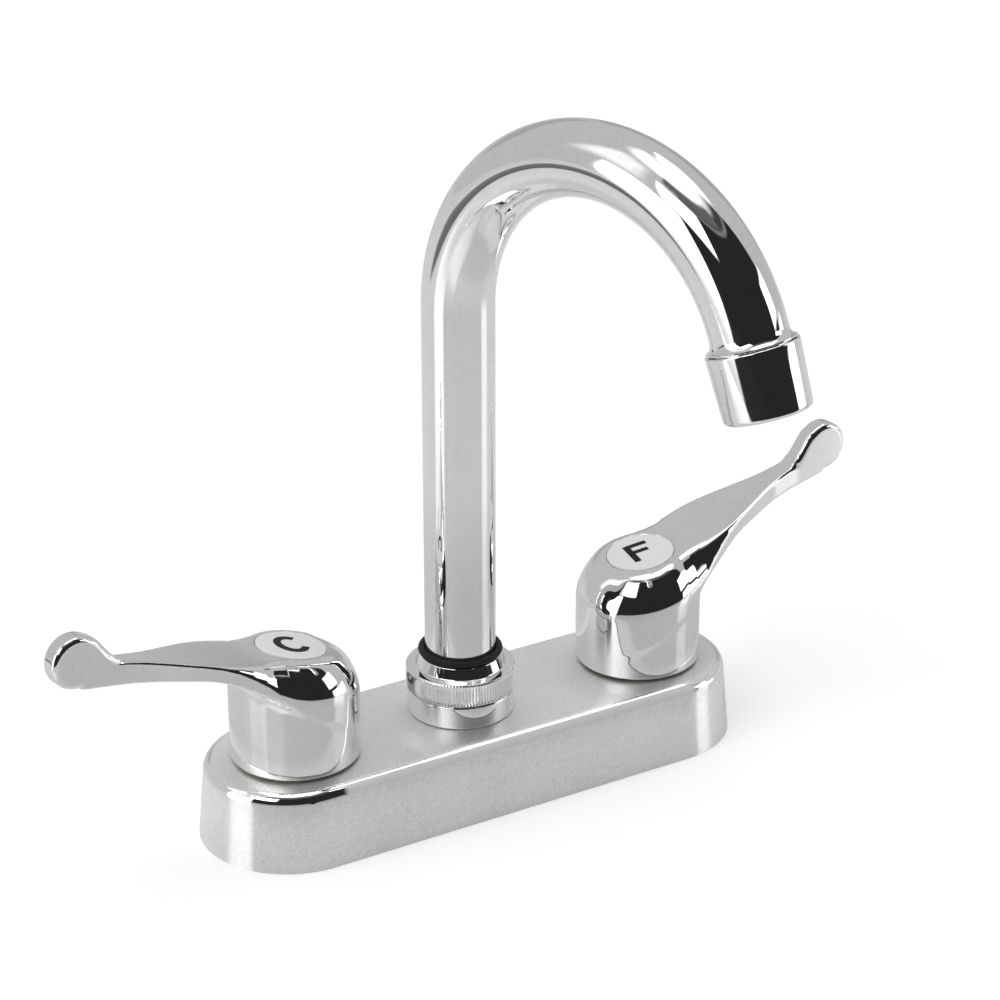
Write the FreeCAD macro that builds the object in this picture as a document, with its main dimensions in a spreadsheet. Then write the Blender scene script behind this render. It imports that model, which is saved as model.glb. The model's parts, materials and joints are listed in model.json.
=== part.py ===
import FreeCAD, Part
import math
import os
import re
import Sketcher
from FreeCAD import Placement, Rotation, Vector

# Two-lever centreset basin mixer with a swivelling gooseneck spout, in millimetres.
# The origin is the middle of the base's underside, on the basin's deck.
# +X points to the cold side, -Y to the user, +Z up.

SIZES = [
    # Base shell
    ("valve_spacing", 101.6, "centre to centre of the two inlets"),
    ("spout_offset", 3.3, "spout axis from the middle of the base, to the hot side"),
    ("base_end_centre", 52.5, "middle of the base to the centre of its round end"),
    ("base_half_width", 23.3, "half width of the base at the deck"),
    ("base_draft", 1.9, "how far the sides lean in from bottom to top"),
    ("base_height", 20.7, "deck to the flat top of the base"),
    ("base_edge_radius", 3.0, "rounding of the base's top edge"),
    ("base_wall", 2.0, "side wall of the base shell"),
    ("base_top_wall", 2.2, "top wall of the base shell"),
    ("gasket_thickness", 1.6, "gasket between base and deck"),
    ("gasket_clearance", 0.2, "gap round the gasket and its holes"),
    ("hole_clearance", 0.3, "radial gap of the shell's holes"),
    # Valve bodies and inlet shanks
    ("body_radius", 14.0, "valve body below the shell's top"),
    ("neck_radius", 10.95, "threaded neck that passes through the shell"),
    ("neck_height", 5.3, "neck above the shell's top"),
    ("chamber_radius", 8.8, "bore that holds the cartridge"),
    ("chamber_floor", 5.0, "height of the valve seat above the deck"),
    ("shank_radius", 10.45, "half inch inlet thread over its crests"),
    ("shank_length", 45.0, "shank below the deck"),
    ("shank_bore_radius", 6.0, "water way of the shank"),
    ("hose_thread_length", 10.5, "lower end of the shank, which takes the hose"),
    ("relief_width", 1.0, "groove above the hose thread"),
    ("relief_depth", 0.6, "groove above the hose thread"),
    ("locknut_height", 3.2, "nut that clamps the shell"),
    ("locknut_corner", 13.6, "centre to corner of the hexagon"),
    ("thread_clearance", 0.05, "radial gap of a threaded pair"),
    # Water ways under the shell
    ("cross_tube_radius", 5.0, "outside of the cross tube"),
    ("cross_tube_wall", 0.9, "wall of the cross tube"),
    ("cross_tube_level", 9.5, "height of the cross tube's axis"),
    ("socket_depth", 3.0, "how far the cross tube enters its sockets"),
    ("tee_radius", 16.0, "spout tee"),
    ("tee_bore_radius", 6.5, "rising bore of the tee"),
    ("tee_floor", 5.0, "height of the tee bore's floor"),
    # Under the deck
    ("deck_gap", 20.0, "space for the basin's deck"),
    ("washer_thickness", 2.0, "mounting washer"),
    ("washer_radius", 16.0, "mounting washer and nut flange"),
    ("nut_height", 11.0, "mounting nut"),
    ("nut_flange", 3.0, "flange of the mounting nut"),
    ("nut_radius", 13.6, "barrel of the mounting nut"),
    ("wing_reach", 21.0, "axis to the tip of a nut's wing"),
    ("wing_width", 4.0, "width of a nut's wing"),
    ("wing_count", 4, "wings of a mounting nut"),
    # Cartridge
    ("housing_radius", 8.7, "cartridge housing in the chamber"),
    ("housing_wall", 1.5, "wall round the ceramic discs"),
    ("housing_lift", 0.6, "housing above the valve seat"),
    ("housing_flange_radius", 10.8, "flange on the neck"),
    ("housing_flange", 2.5, "thickness of that flange"),
    ("housing_top_radius", 7.5, "guide above the flange"),
    ("housing_top", 36.0, "top of the guide above the deck"),
    ("window_width", 7.0, "outlet window of the housing"),
    ("window_height", 4.4, "outlet window of the housing"),
    ("seal_thickness", 2.0, "rubber seat seal"),
    ("seal_bore_radius", 4.4, "bore of the seat seal"),
    ("disc_thickness", 2.5, "each ceramic disc"),
    ("disc_clearance", 0.05, "gap round the discs and between turning faces"),
    ("port_radius", 5.4, "reach of the openings in a ceramic disc"),
    ("port_angle", 76.0, "angle of each opening in a ceramic disc"),
    ("port_offset", 1.1, "web at the middle of a ceramic disc"),
    ("tongue_width", 2.2, "drive tongue of the stem"),
    ("tongue_height", 1.1, "drive tongue of the stem"),
    ("tongue_length", 11.4, "drive tongue of the stem"),
    ("stem_flange", 2.4, "thickness of the stem's flange"),
    ("stem_radius", 4.6, "stem in its guide"),
    ("stem_clearance", 0.05, "running gap of the stem"),
    ("spline_radius", 3.9, "serrated end of the stem"),
    ("stem_top", 44.0, "top of the stem above the deck"),
    ("clip_thickness", 0.6, "stem clip"),
    ("clip_radius", 6.2, "outside of the stem clip"),
    ("clip_gap", 0.3, "play of the stem clip above the guide"),
    ("clip_opening", 3.4, "mouth of the stem clip"),
    ("ring_section", 1.8, "thickness of the seal rings"),
    ("ring_clearance", 0.03, "gap outside a seal ring"),
    ("ring_slack", 0.02, "how much thinner a ring is than its section"),
    ("groove_width", 2.2, "width of a ring's groove"),
    ("ring_depth", 3.5, "middle of the stem's ring below the guide's top"),
    ("housing_ring_depth", 5.0, "foot of the housing's ring groove below the neck's top"),
    # Levers
    ("hub_radius", 16.3, "outside of the lever's hub"),
    ("hub_gap", 0.8, "gap between base and hub"),
    ("hub_wall", 2.3, "wall of the hub"),
    ("hub_top", 50.5, "face of the hub on its axis, above the deck"),
    ("face_tilt", 10.0, "slope of the hub's face up to the paddle"),
    ("cavity_top", 39.5, "ceiling of the hub's cavity above the deck"),
    ("boss_radius", 6.6, "boss that takes the stem"),
    ("boss_drop", 1.5, "boss below the cavity's ceiling"),
    ("dome_radius", 7.0, "rounding between hub wall and face"),
    ("edge_rounding", 1.3, "rounding of the arm and paddle"),
    ("neck_distance", 45.0, "hub axis to the thinnest part of the arm"),
    ("arm_depth", 5.6, "upright depth of the arm at its thinnest part"),
    ("arm_bend", 14.0, "hub axis to where the face starts to rise faster"),
    ("arm_bend_radius", 60.0, "radius of that bend"),
    ("root_distance", 26.0, "hub axis to where the underside turns down to the hub"),
    ("root_rise", 40.0, "slope of the underside at the hub"),
    ("root_radius", 12.0, "hollow radius between these two slopes"),
    ("arm_end_inset", 4.3, "arm's end to the middle of the paddle"),
    ("arm_end_drop", 1.1, "arm's face at its end below the middle of the paddle"),
    ("waist_radius", 45.0, "plan radius where the cheeks meet the neck"),
    ("paddle_distance", 61.3, "hub axis to the middle of the paddle"),
    ("paddle_radius", 6.65, "round paddle"),
    ("paddle_height", 66.4, "middle of the paddle above the deck"),
    ("paddle_half_width", 2.8, "half thickness of the paddle and of the arm beside it"),
    ("paddle_edge", 1.6, "rounding of the paddle's rim"),
    ("hot_rest_turn", 8.0, "hot lever at rest, turned from -X to the front"),
    ("cold_rest_turn", 4.0, "cold lever at rest, turned from +X to the back"),
    ("index_radius", 8.8, "index disc"),
    ("index_thickness", 1.2, "index disc"),
    ("index_crown", 0.35, "how much the disc's face bulges"),
    ("index_recess", 1.4, "depth of the recess for the disc"),
    ("index_clearance", 0.15, "gap round the disc"),
    ("index_offset", 0.5, "disc's centre from the hub axis"),
    ("screw_radius", 1.6, "handle screw"),
    ("screw_head_radius", 3.4, "handle screw"),
    ("screw_head_height", 2.0, "handle screw"),
    ("screw_seat", 45.3, "underside of the screw head above the deck"),
    ("screw_tip", 37.6, "tip of the handle screw above the deck"),
    ("screw_clearance", 0.4, "gap round the screw head and shank"),
    # Spout post and nut
    ("post_shank_radius", 9.9, "thread of the post in the tee"),
    ("post_shank_tip", 14.0, "lower end of that thread above the deck"),
    ("post_bore_radius", 8.0, "bearing bore of the post"),
    ("post_flange_radius", 13.65, "smooth chromed flange"),
    ("post_flange_height", 6.2, "smooth chromed flange"),
    ("post_flange_floor", 1.8, "floor of the groove for the nut's skirt"),
    ("post_flange_rim", 0.9, "rim of the smooth flange"),
    ("post_thread_radius", 11.0, "thread for the nut"),
    ("post_thread_top", 8.3, "top of that thread above the shell"),
    ("nut_band_radius", 14.0, "knurled band of the spout nut"),
    ("nut_band_height", 6.3, "knurled band of the spout nut"),
    ("nut_band_chamfer", 0.4, "edges of the knurled band"),
    ("nut_neck_height", 2.9, "conical neck above the band"),
    ("nut_neck_wide", 11.3, "radius of the neck at the band"),
    ("nut_neck_narrow", 10.2, "radius of the neck at its top"),
    ("nut_gap", 0.2, "gap between nut and flange"),
    ("friction_washer", 0.5, "washer under the spout's collar"),
    # Spout
    ("tube_radius", 9.05, "gooseneck tube"),
    ("tube_wall", 1.2, "wall of the gooseneck tube"),
    ("lip_clearance", 0.3, "gap between tube and nut"),
    ("collar_radius", 11.3, "flange of the spout's collar"),
    ("collar_flange", 1.5, "flange of the spout's collar"),
    ("collar_gap", 0.1, "axial play of the collar"),
    ("bearing_clearance", 0.05, "running gap of the collar in the post"),
    ("collar_bore_radius", 4.9, "water way of the collar"),
    ("collar_foot_gap", 1.0, "collar's lower end above the post's"),
    ("spigot_length", 9.0, "collar inside the tube"),
    ("lower_ring_rise", 3.6, "lower seal ring above the collar's end"),
    ("ring_spacing", 5.5, "between the two seal rings"),
    ("bend_start", 130.0, "where the gooseneck starts to bend, above the deck"),
    ("bend_radius", 45.7, "centre line of the gooseneck"),
    ("bend_angle", 160.0, "how far the gooseneck turns over"),
    ("spout_rest_turn", 15.8, "spout at rest, turned from the front to the cold side"),
    ("trim_ring_section", 1.7, "black ring above the nut"),
    ("trim_ring_gap", 0.25, "gap between the ring and the nut"),
    # Outlet
    ("sleeve_flare_radius", 10.4, "flare at the tube's end"),
    ("sleeve_flare_height", 2.6, "flare at the tube's end"),
    ("sleeve_thread_radius", 9.2, "thread that takes the aerator"),
    ("sleeve_thread_length", 6.4, "thread that takes the aerator"),
    ("sleeve_bore_radius", 6.5, "water way of the sleeve"),
    ("sleeve_spigot", 3.0, "sleeve inside the tube"),
    ("braze_gap", 0.15, "brazed gap round a spigot in the tube"),
    ("aerator_radius", 10.85, "aerator housing at the tube's end"),
    ("aerator_taper", 0.6, "how much the housing narrows"),
    ("aerator_length", 15.8, "aerator housing"),
    ("aerator_chamfer", 0.8, "lower edge of the housing"),
    ("aerator_lip_radius", 8.2, "mouth of the housing"),
    ("aerator_lip", 2.0, "depth of the mouth below the screen"),
    ("outlet_washer", 1.5, "rubber washer in the housing"),
    ("screen_thickness", 0.6, "screen at the mouth"),
    ("insert_hole_radius", 0.9, "holes of the flow insert"),
    ("insert_hole_circle", 5.2, "ring of those holes"),
    ("insert_hole_count", 8, "holes of the flow insert"),
    ("screen_pitch", 2.4, "spacing of the screen's slots"),
    ("screen_bar", 0.9, "bars between the screen's slots"),
]


class Size:
    """A number of the sheet, or a sum of them, with the expression that gives it."""

    def __init__(self, value, text):
        self.value = value
        self.text = text

    def joined(self, other, sign, value):
        return Size(value, "(%s %s %s)" % (self.text, sign, text_of(other)))

    def __add__(self, other):
        return self.joined(other, "+", self.value + value_of(other))

    def __radd__(self, other):
        return self + other

    def __sub__(self, other):
        return self.joined(other, "-", self.value - value_of(other))

    def __rsub__(self, other):
        return -self + other

    def __mul__(self, other):
        return self.joined(other, "*", self.value * value_of(other))

    def __rmul__(self, other):
        return self * other

    def __truediv__(self, other):
        return self.joined(other, "/", self.value / value_of(other))

    def __neg__(self):
        return Size(-self.value, "(-%s)" % self.text)


def value_of(number):
    return number.value if isinstance(number, Size) else number


def text_of(number):
    return number.text if isinstance(number, Size) else repr(number)


class Dimensions:
    """The driving dimensions, written to a sheet and read back by name."""

    def __init__(self, doc, rows):
        sheet = doc.addObject("Spreadsheet::Sheet", "Sizes")
        for row, (alias, value, note) in enumerate(rows, start=1):
            sheet.set("A%d" % row, alias)
            sheet.set("B%d" % row, str(value))
            sheet.set("C%d" % row, note)
            sheet.setAlias("B%d" % row, alias)
        doc.recompute()
        for alias, _, _ in rows:
            setattr(self, alias, Size(float(getattr(sheet, alias)), "Sizes." + alias))


doc = FreeCAD.newDocument("basin_mixer")
size = Dimensions(doc, SIZES)
nodes = []


# Helpers for sketches and features

def bind(obj, path, number):
    """Tie a property to the sheet, or set it where the number is plain."""
    if isinstance(number, Size):
        obj.setExpression(path, number.text)


def origin_plane(body, role):
    return next(f for f in body.Origin.OriginFeatures if f.Role == role)


def add_sketch(body, role, name, level=0.0):
    """A sketch on one of the body's origin planes, lifted along the plane's normal."""
    sketch = body.newObject("Sketcher::SketchObject", name)
    sketch.AttachmentSupport = [(origin_plane(body, role), "")]
    sketch.MapMode = "FlatFace"
    sketch.AttachmentOffset = Placement(Vector(0, 0, value_of(level)), Rotation())
    bind(sketch, "AttachmentOffset.Base.z", level)
    return sketch


def fix(sketch, kind, element, point, number):
    """Place one point of the sketch along X or Y by a size."""
    row = sketch.addConstraint(Sketcher.Constraint(kind, element, point, value_of(number)))
    bind(sketch, "Constraints[%d]" % row, number)


def polygon(sketch, points):
    """A closed outline whose corners each hang on the sheet."""
    corners = [Vector(value_of(x), value_of(y), 0) for x, y in points]
    first = sketch.GeometryCount
    count = len(corners)
    for i in range(count):
        sketch.addGeometry(Part.LineSegment(corners[i], corners[(i + 1) % count]), False)
    for i, (x, y) in enumerate(points):
        following = first + (i + 1) % count
        sketch.addConstraint(Sketcher.Constraint("Coincident", first + i, 2, following, 1))
        fix(sketch, "DistanceX", first + i, 1, x)
        fix(sketch, "DistanceY", first + i, 1, y)


def circle(sketch, x, y, radius):
    shape = Part.Circle(Vector(value_of(x), value_of(y), 0), Vector(0, 0, 1), value_of(radius))
    element = sketch.addGeometry(shape, False)
    fix(sketch, "DistanceX", element, 3, x)
    fix(sketch, "DistanceY", element, 3, y)
    row = sketch.addConstraint(Sketcher.Constraint("Radius", element, value_of(radius)))
    bind(sketch, "Constraints[%d]" % row, radius)


def stadium(sketch, reach, radius):
    """Two half circles about (-reach, 0) and (reach, 0), joined by straight sides."""
    a, r = value_of(reach), value_of(radius)
    front = sketch.addGeometry(Part.LineSegment(Vector(-a, -r, 0), Vector(a, -r, 0)), False)
    back = sketch.addGeometry(Part.LineSegment(Vector(a, r, 0), Vector(-a, r, 0)), False)
    quarter = math.pi / 2
    normal = Vector(0, 0, 1)
    right = Part.ArcOfCircle(Part.Circle(Vector(a, 0, 0), normal, r), -quarter, quarter)
    left = Part.ArcOfCircle(Part.Circle(Vector(-a, 0, 0), normal, r), quarter, 3 * quarter)
    right = sketch.addGeometry(right, False)
    left = sketch.addGeometry(left, False)
    joints = [(front, 2, right, 1), (right, 2, back, 1), (back, 2, left, 1), (left, 2, front, 1)]
    for joint in joints:
        sketch.addConstraint(Sketcher.Constraint("Coincident", *joint))
    for element, start, end in ((front, -reach, reach), (back, reach, -reach)):
        level = -radius if element == front else radius
        fix(sketch, "DistanceX", element, 1, start)
        fix(sketch, "DistanceX", element, 2, end)
        fix(sketch, "DistanceY", element, 1, level)
        fix(sketch, "DistanceY", element, 2, level)
    fix(sketch, "DistanceX", right, 3, reach)
    fix(sketch, "DistanceX", left, 3, -reach)


def add_pad(body, sketch, length, taper=None):
    pad = body.newObject("PartDesign::Pad", "Pad")
    pad.Profile = sketch
    pad.Length = value_of(length)
    bind(pad, "Length", length)
    if taper:
        pad.setExpression("TaperAngle", taper)
    sketch.Visibility = False
    return pad


def add_pocket(body, sketch, length, upward=False, taper=None):
    """Cut from the sketch down, or up where upward is set."""
    before = body.Tip.Shape.Volume if body.Tip.Shape.isValid() else 0.0
    pocket = body.newObject("PartDesign::Pocket", "Pocket")
    pocket.Profile = sketch
    pocket.Length = value_of(length)
    pocket.Reversed = upward
    bind(pocket, "Length", length)
    if taper:
        pocket.setExpression("TaperAngle", taper)
    doc.recompute()
    if pocket.Shape.Volume > before - 0.001:
        raise RuntimeError("%s: a pocket cuts nothing" % body.Label)
    return pocket


def new_body(label):
    body = doc.addObject("PartDesign::Body", label)
    body.Label = label
    return body


def turned(label, profile):
    """A body turned about Z from corners given as (radius, height)."""
    body = new_body(label)
    sketch = add_sketch(body, "XZ_Plane", "Profile")
    polygon(sketch, profile)
    turn = body.newObject("PartDesign::Revolution", "Revolution")
    turn.Profile = sketch
    turn.ReferenceAxis = (sketch, ["V_Axis"])
    turn.Angle = 360
    return body


def rod(label, radius, length, start, along="X", level=0.0, angle=None):
    """A plain cylinder along X or Z, used as a cutter or a simple piece."""
    piece = doc.addObject("Part::Cylinder", label)
    piece.Label = label
    piece.Radius = value_of(radius)
    piece.Height = value_of(length)
    bind(piece, "Radius", radius)
    bind(piece, "Height", length)
    if along == "X":
        turn = Rotation(Vector(0, 1, 0), 90)
        piece.Placement = Placement(Vector(value_of(start), 0, value_of(level)), turn)
        bind(piece, ".Placement.Base.x", start)
        bind(piece, ".Placement.Base.z", level)
    else:
        piece.Placement = Placement(Vector(0, 0, value_of(start)), Rotation())
        bind(piece, ".Placement.Base.z", start)
    if angle is not None:
        piece.Angle = value_of(angle)
        bind(piece, "Angle", angle)
    return piece


def block(label, length, width, height, level, x=None):
    """A box centred on the Z axis, or on x, standing on a level."""
    piece = doc.addObject("Part::Box", label)
    piece.Label = label
    for name, number in (("Length", length), ("Width", width), ("Height", height)):
        setattr(piece, name, value_of(number))
        bind(piece, name, number)
    left = -length / 2 if x is None else x - length / 2
    corner = Vector(value_of(left), value_of(-width / 2), value_of(level))
    piece.Placement = Placement(corner, Rotation())
    bind(piece, ".Placement.Base.x", left)
    bind(piece, ".Placement.Base.y", -width / 2)
    bind(piece, ".Placement.Base.z", level)
    return piece


def joined(label, pieces):
    group = doc.addObject("Part::MultiFuse", label)
    group.Label = label
    group.Shapes = pieces
    return group


def cut(label, base, tools):
    """The base less its tools."""
    tool = tools[0] if len(tools) == 1 else joined(label + "_cutters", tools)
    result = doc.addObject("Part::Cut", label)
    result.Label = label
    result.Base = base
    result.Tool = tool
    return result


def ring(label, middle_radius, section_radius, level):
    piece = doc.addObject("Part::Torus", label)
    piece.Label = label
    piece.Radius1 = value_of(middle_radius)
    piece.Radius2 = value_of(section_radius)
    bind(piece, "Radius1", middle_radius)
    bind(piece, "Radius2", section_radius)
    piece.Placement = Placement(Vector(0, 0, value_of(level)), Rotation())
    bind(piece, ".Placement.Base.z", level)
    return piece


def keep(piece):
    nodes.append(piece)
    return piece


def stand(piece, x, turn=None, level=None):
    """Put a finished piece on its upright axis and turn it there."""
    angle = 0.0 if turn is None else value_of(turn)
    height = 0.0 if level is None else value_of(level)
    place = Vector(value_of(x), 0, height)
    piece.Placement = Placement(place, Rotation(Vector(0, 0, 1), angle))
    bind(piece, ".Placement.Base.x", x)
    if turn is not None:
        bind(piece, ".Placement.Rotation.Angle", turn)
    if level is not None:
        bind(piece, ".Placement.Base.z", level)
    return keep(piece)


# Levels and radii that several pieces share

deck_top = size.base_height
shell_under = size.base_height - size.base_top_wall
neck_top = deck_top + size.neck_height
seal_top = size.chamber_floor + size.seal_thickness
fixed_top = seal_top + size.disc_thickness
moving_bottom = fixed_top + size.disc_clearance
moving_top = moving_bottom + size.disc_thickness
flange_bottom = moving_top + size.disc_clearance
flange_top = flange_bottom + size.stem_flange
housing_bottom = size.chamber_floor + size.housing_lift
disc_bore = size.housing_radius - size.housing_wall
disc_radius = disc_bore - size.disc_clearance
ring_radius = size.ring_section / 2
hub_bottom = deck_top + size.hub_gap
washer_top = -size.deck_gap
nut_top = washer_top - size.washer_thickness
nut_bottom = nut_top - size.nut_height
post_flange_top = deck_top + size.post_flange_height
post_top = deck_top + size.post_thread_top
nut_band_bottom = post_flange_top + size.nut_gap
nut_band_top = nut_band_bottom + size.nut_band_height
nut_neck_top = nut_band_top + size.nut_neck_height
collar_bottom_face = post_top + size.friction_washer + size.collar_gap
tube_bottom = collar_bottom_face + size.collar_flange
tube_bore = size.tube_radius - size.tube_wall
spout_axis = -size.spout_offset


# Base

def base_cover():
    """Drafted oblong shell, open below, with holes for two necks and the spout post."""
    body = new_body("base_cover")
    lean = "-atan(Sizes.base_draft / Sizes.base_height)"
    outline = add_sketch(body, "XY_Plane", "Outline")
    stadium(outline, size.base_end_centre, size.base_half_width)
    pad = add_pad(body, outline, size.base_height, lean)
    doc.recompute()
    rounding = body.newObject("PartDesign::Fillet", "TopEdge")
    top = value_of(size.base_height)
    rim = []
    for number, edge in enumerate(pad.Shape.Edges, start=1):
        if all(abs(v.Point.z - top) < 0.001 for v in edge.Vertexes):
            rim.append("Edge%d" % number)
    rounding.Base = (pad, rim)
    rounding.Radius = value_of(size.base_edge_radius)
    bind(rounding, "Radius", size.base_edge_radius)
    doc.recompute()
    hollow = add_sketch(body, "XY_Plane", "Hollow")
    stadium(hollow, size.base_end_centre, size.base_half_width - size.base_wall)
    add_pocket(body, hollow, shell_under, True, lean)
    holes = add_sketch(body, "XY_Plane", "Holes")
    neck_hole = size.neck_radius + size.hole_clearance
    circle(holes, -size.valve_spacing / 2, 0.0, neck_hole)
    circle(holes, size.valve_spacing / 2, 0.0, neck_hole)
    circle(holes, spout_axis, 0.0, size.post_shank_radius + size.hole_clearance)
    add_pocket(body, holes, size.base_height * 2, True)
    return keep(body)


def base_gasket():
    """Flat gasket inside the shell's rim, with holes for the two shanks."""
    body = new_body("base_gasket")
    outline = add_sketch(body, "XY_Plane", "Outline")
    drafted_wall = size.base_wall + size.base_draft * size.gasket_thickness / size.base_height
    stadium(outline, size.base_end_centre,
            size.base_half_width - drafted_wall - size.gasket_clearance)
    hole = size.shank_radius + size.gasket_clearance
    circle(outline, -size.valve_spacing / 2, 0.0, hole)
    circle(outline, size.valve_spacing / 2, 0.0, hole)
    add_pad(body, outline, size.gasket_thickness)
    return keep(body)


# Water ways

def valve_body(name, x, turn):
    """Cast body with the cartridge chamber above and the threaded inlet shank below."""
    foot = size.gasket_thickness
    relief_bottom = size.hose_thread_length - size.shank_length
    relief_top = relief_bottom + size.relief_width
    relief_radius = size.shank_radius - size.relief_depth
    blank = turned(name + "_valve_blank", [
        (size.shank_bore_radius, -size.shank_length),
        (size.shank_radius, -size.shank_length),
        (size.shank_radius, relief_bottom),
        (relief_radius, relief_bottom),
        (relief_radius, relief_top),
        (size.shank_radius, relief_top),
        (size.shank_radius, foot),
        (size.body_radius, foot),
        (size.body_radius, shell_under),
        (size.neck_radius, shell_under),
        (size.neck_radius, neck_top),
        (size.chamber_radius, neck_top),
        (size.chamber_radius, size.chamber_floor),
        (size.shank_bore_radius, size.chamber_floor),
    ])
    socket_start = size.body_radius - size.socket_depth
    reach = size.body_radius
    socket = rod(name + "_socket", size.cross_tube_radius, reach, socket_start,
                 level=size.cross_tube_level)
    bore = rod(name + "_port", size.cross_tube_radius - size.cross_tube_wall, reach, 0.0,
               level=size.cross_tube_level)
    return stand(cut(name + "_valve_body", blank, [socket, bore]), x, turn)


def cross_tube(name, side):
    """Brazed tube from a valve body's socket to the tee's socket."""
    outer_end = size.valve_spacing / 2 - size.body_radius + size.socket_depth
    inner_end = size.tee_radius - size.socket_depth + spout_axis * side
    length = outer_end - inner_end
    start = inner_end if side > 0 else -outer_end
    outside = rod(name + "_cross_outside", size.cross_tube_radius, length, start,
                  level=size.cross_tube_level)
    inside = rod(name + "_cross_inside", size.cross_tube_radius - size.cross_tube_wall,
                 length, start, level=size.cross_tube_level)
    return keep(cut(name + "_cross_tube", outside, [inside]))


def spout_tee():
    """Middle casting: cross bore, rising bore and the thread for the spout post."""
    foot = size.gasket_thickness
    thread = size.post_shank_radius + size.thread_clearance
    blank = turned("tee_blank", [
        (0.0, foot),
        (size.tee_radius, foot),
        (size.tee_radius, shell_under),
        (thread, shell_under),
        (thread, size.post_shank_tip),
        (size.tee_bore_radius, size.post_shank_tip),
        (size.tee_bore_radius, size.tee_floor),
        (0.0, size.tee_floor),
    ])
    inside = size.cross_tube_radius - size.cross_tube_wall
    tools = [rod("tee_cross_bore", inside, size.tee_radius * 2, -size.tee_radius,
                 level=size.cross_tube_level)]
    socket_start = size.tee_radius - size.socket_depth
    for name, start in (("hot", -size.tee_radius * 2 + size.socket_depth), ("cold", socket_start)):
        tools.append(rod("tee_%s_socket" % name, size.cross_tube_radius, size.tee_radius, start,
                         level=size.cross_tube_level))
    return stand(cut("spout_tee", blank, tools), spout_axis)


def spout_post():
    """Threaded post: smooth chromed flange on the shell, bearing bore for the spout."""
    groove_floor = deck_top + size.post_flange_floor
    groove_radius = size.post_flange_radius - size.post_flange_rim
    return stand(turned("spout_post", [
        (size.post_bore_radius, size.post_shank_tip),
        (size.post_shank_radius, size.post_shank_tip),
        (size.post_shank_radius, deck_top),
        (size.post_flange_radius, deck_top),
        (size.post_flange_radius, post_flange_top),
        (groove_radius, post_flange_top),
        (groove_radius, groove_floor),
        (size.post_thread_radius, groove_floor),
        (size.post_thread_radius, post_top),
        (size.post_bore_radius, post_top),
    ]), spout_axis)


def hexagon_points(corner):
    """Corners of a hexagon about the origin, with a corner on the sketch's X axis."""
    half_flat = corner * math.sqrt(3) / 2
    return [
        (corner, 0.0), (corner / 2, half_flat), (-corner / 2, half_flat),
        (-corner, 0.0), (-corner / 2, -half_flat), (corner / 2, -half_flat),
    ]


def cover_locknut(name, x):
    """Hexagon nut on the neck, clamping the shell to the valve body."""
    body = new_body(name + "_cover_locknut")
    outline = add_sketch(body, "XY_Plane", "Outline")
    polygon(outline, hexagon_points(size.locknut_corner))
    circle(outline, 0.0, 0.0, size.neck_radius + size.thread_clearance)
    add_pad(body, outline, size.locknut_height)
    return stand(body, x, level=deck_top)


def mount_washer(name, x):
    hole = size.shank_radius + size.hole_clearance
    return stand(turned(name + "_mount_washer", [
        (hole, nut_top), (size.washer_radius, nut_top),
        (size.washer_radius, washer_top), (hole, washer_top),
    ]), x)


def mount_nut(name, x):
    """Flanged nut with four finger wings, under the deck."""
    body = new_body(name + "_mount_nut")
    thread = size.shank_radius + size.thread_clearance
    flange_level = nut_top - size.nut_flange
    profile = add_sketch(body, "XZ_Plane", "Profile")
    polygon(profile, [
        (thread, nut_bottom), (size.nut_radius, nut_bottom),
        (size.nut_radius, flange_level), (size.washer_radius, flange_level),
        (size.washer_radius, nut_top), (thread, nut_top),
    ])
    turn = body.newObject("PartDesign::Revolution", "Barrel")
    turn.Profile = profile
    turn.ReferenceAxis = (profile, ["V_Axis"])
    turn.Angle = 360
    doc.recompute()
    wing = add_sketch(body, "XY_Plane", "Wing", nut_bottom)
    inner = (thread + size.nut_radius) / 2
    half = size.wing_width / 2
    polygon(wing, [(inner, -half), (size.wing_reach, -half), (size.wing_reach, half),
                   (inner, half)])
    pad = add_pad(body, wing, size.nut_height - size.nut_flange / 2)
    doc.recompute()
    pattern = body.newObject("PartDesign::PolarPattern", "Wings")
    pattern.Originals = [pad]
    pattern.Axis = (wing, ["N_Axis"])
    pattern.Angle = 360
    pattern.Occurrences = int(size.wing_count.value)
    bind(pattern, "Occurrences", size.wing_count)
    body.Tip = pattern
    return stand(body, x)


# Cartridge, seen from the seat up

def cartridge_housing(name, x, turn):
    """Brass housing: discs in its foot, outlet windows, flange on the neck, stem guide."""
    groove = (size.chamber_radius - size.ring_clearance) - size.ring_section
    groove_low = neck_top - size.housing_ring_depth
    groove_high = groove_low + size.groove_width
    guide = size.stem_radius + size.stem_clearance
    ceiling = flange_top + size.disc_clearance * 4
    blank = turned(name + "_housing_blank", [
        (disc_bore, housing_bottom), (size.housing_radius, housing_bottom),
        (size.housing_radius, groove_low), (groove, groove_low),
        (groove, groove_high), (size.housing_radius, groove_high),
        (size.housing_radius, neck_top), (size.housing_flange_radius, neck_top),
        (size.housing_flange_radius, neck_top + size.housing_flange),
        (size.housing_top_radius, neck_top + size.housing_flange),
        (size.housing_top_radius, size.housing_top), (guide, size.housing_top),
        (guide, ceiling), (disc_bore, ceiling),
    ])
    window = block(name + "_window", size.housing_radius * 3, size.window_width,
                   size.window_height, moving_bottom)
    stand(cut(name + "_cartridge_housing", blank, [window]), x, turn)
    seal = ring(name + "_housing_ring", groove + ring_radius, ring_radius - size.ring_slack,
                (groove_low + groove_high) / 2)
    stand(seal, x, level=(groove_low + groove_high) / 2)


def seat_seal(name, x):
    return stand(turned(name + "_seat_seal", [
        (size.seal_bore_radius, size.chamber_floor), (disc_radius, size.chamber_floor),
        (disc_radius, seal_top), (size.seal_bore_radius, seal_top),
    ]), x)


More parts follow.
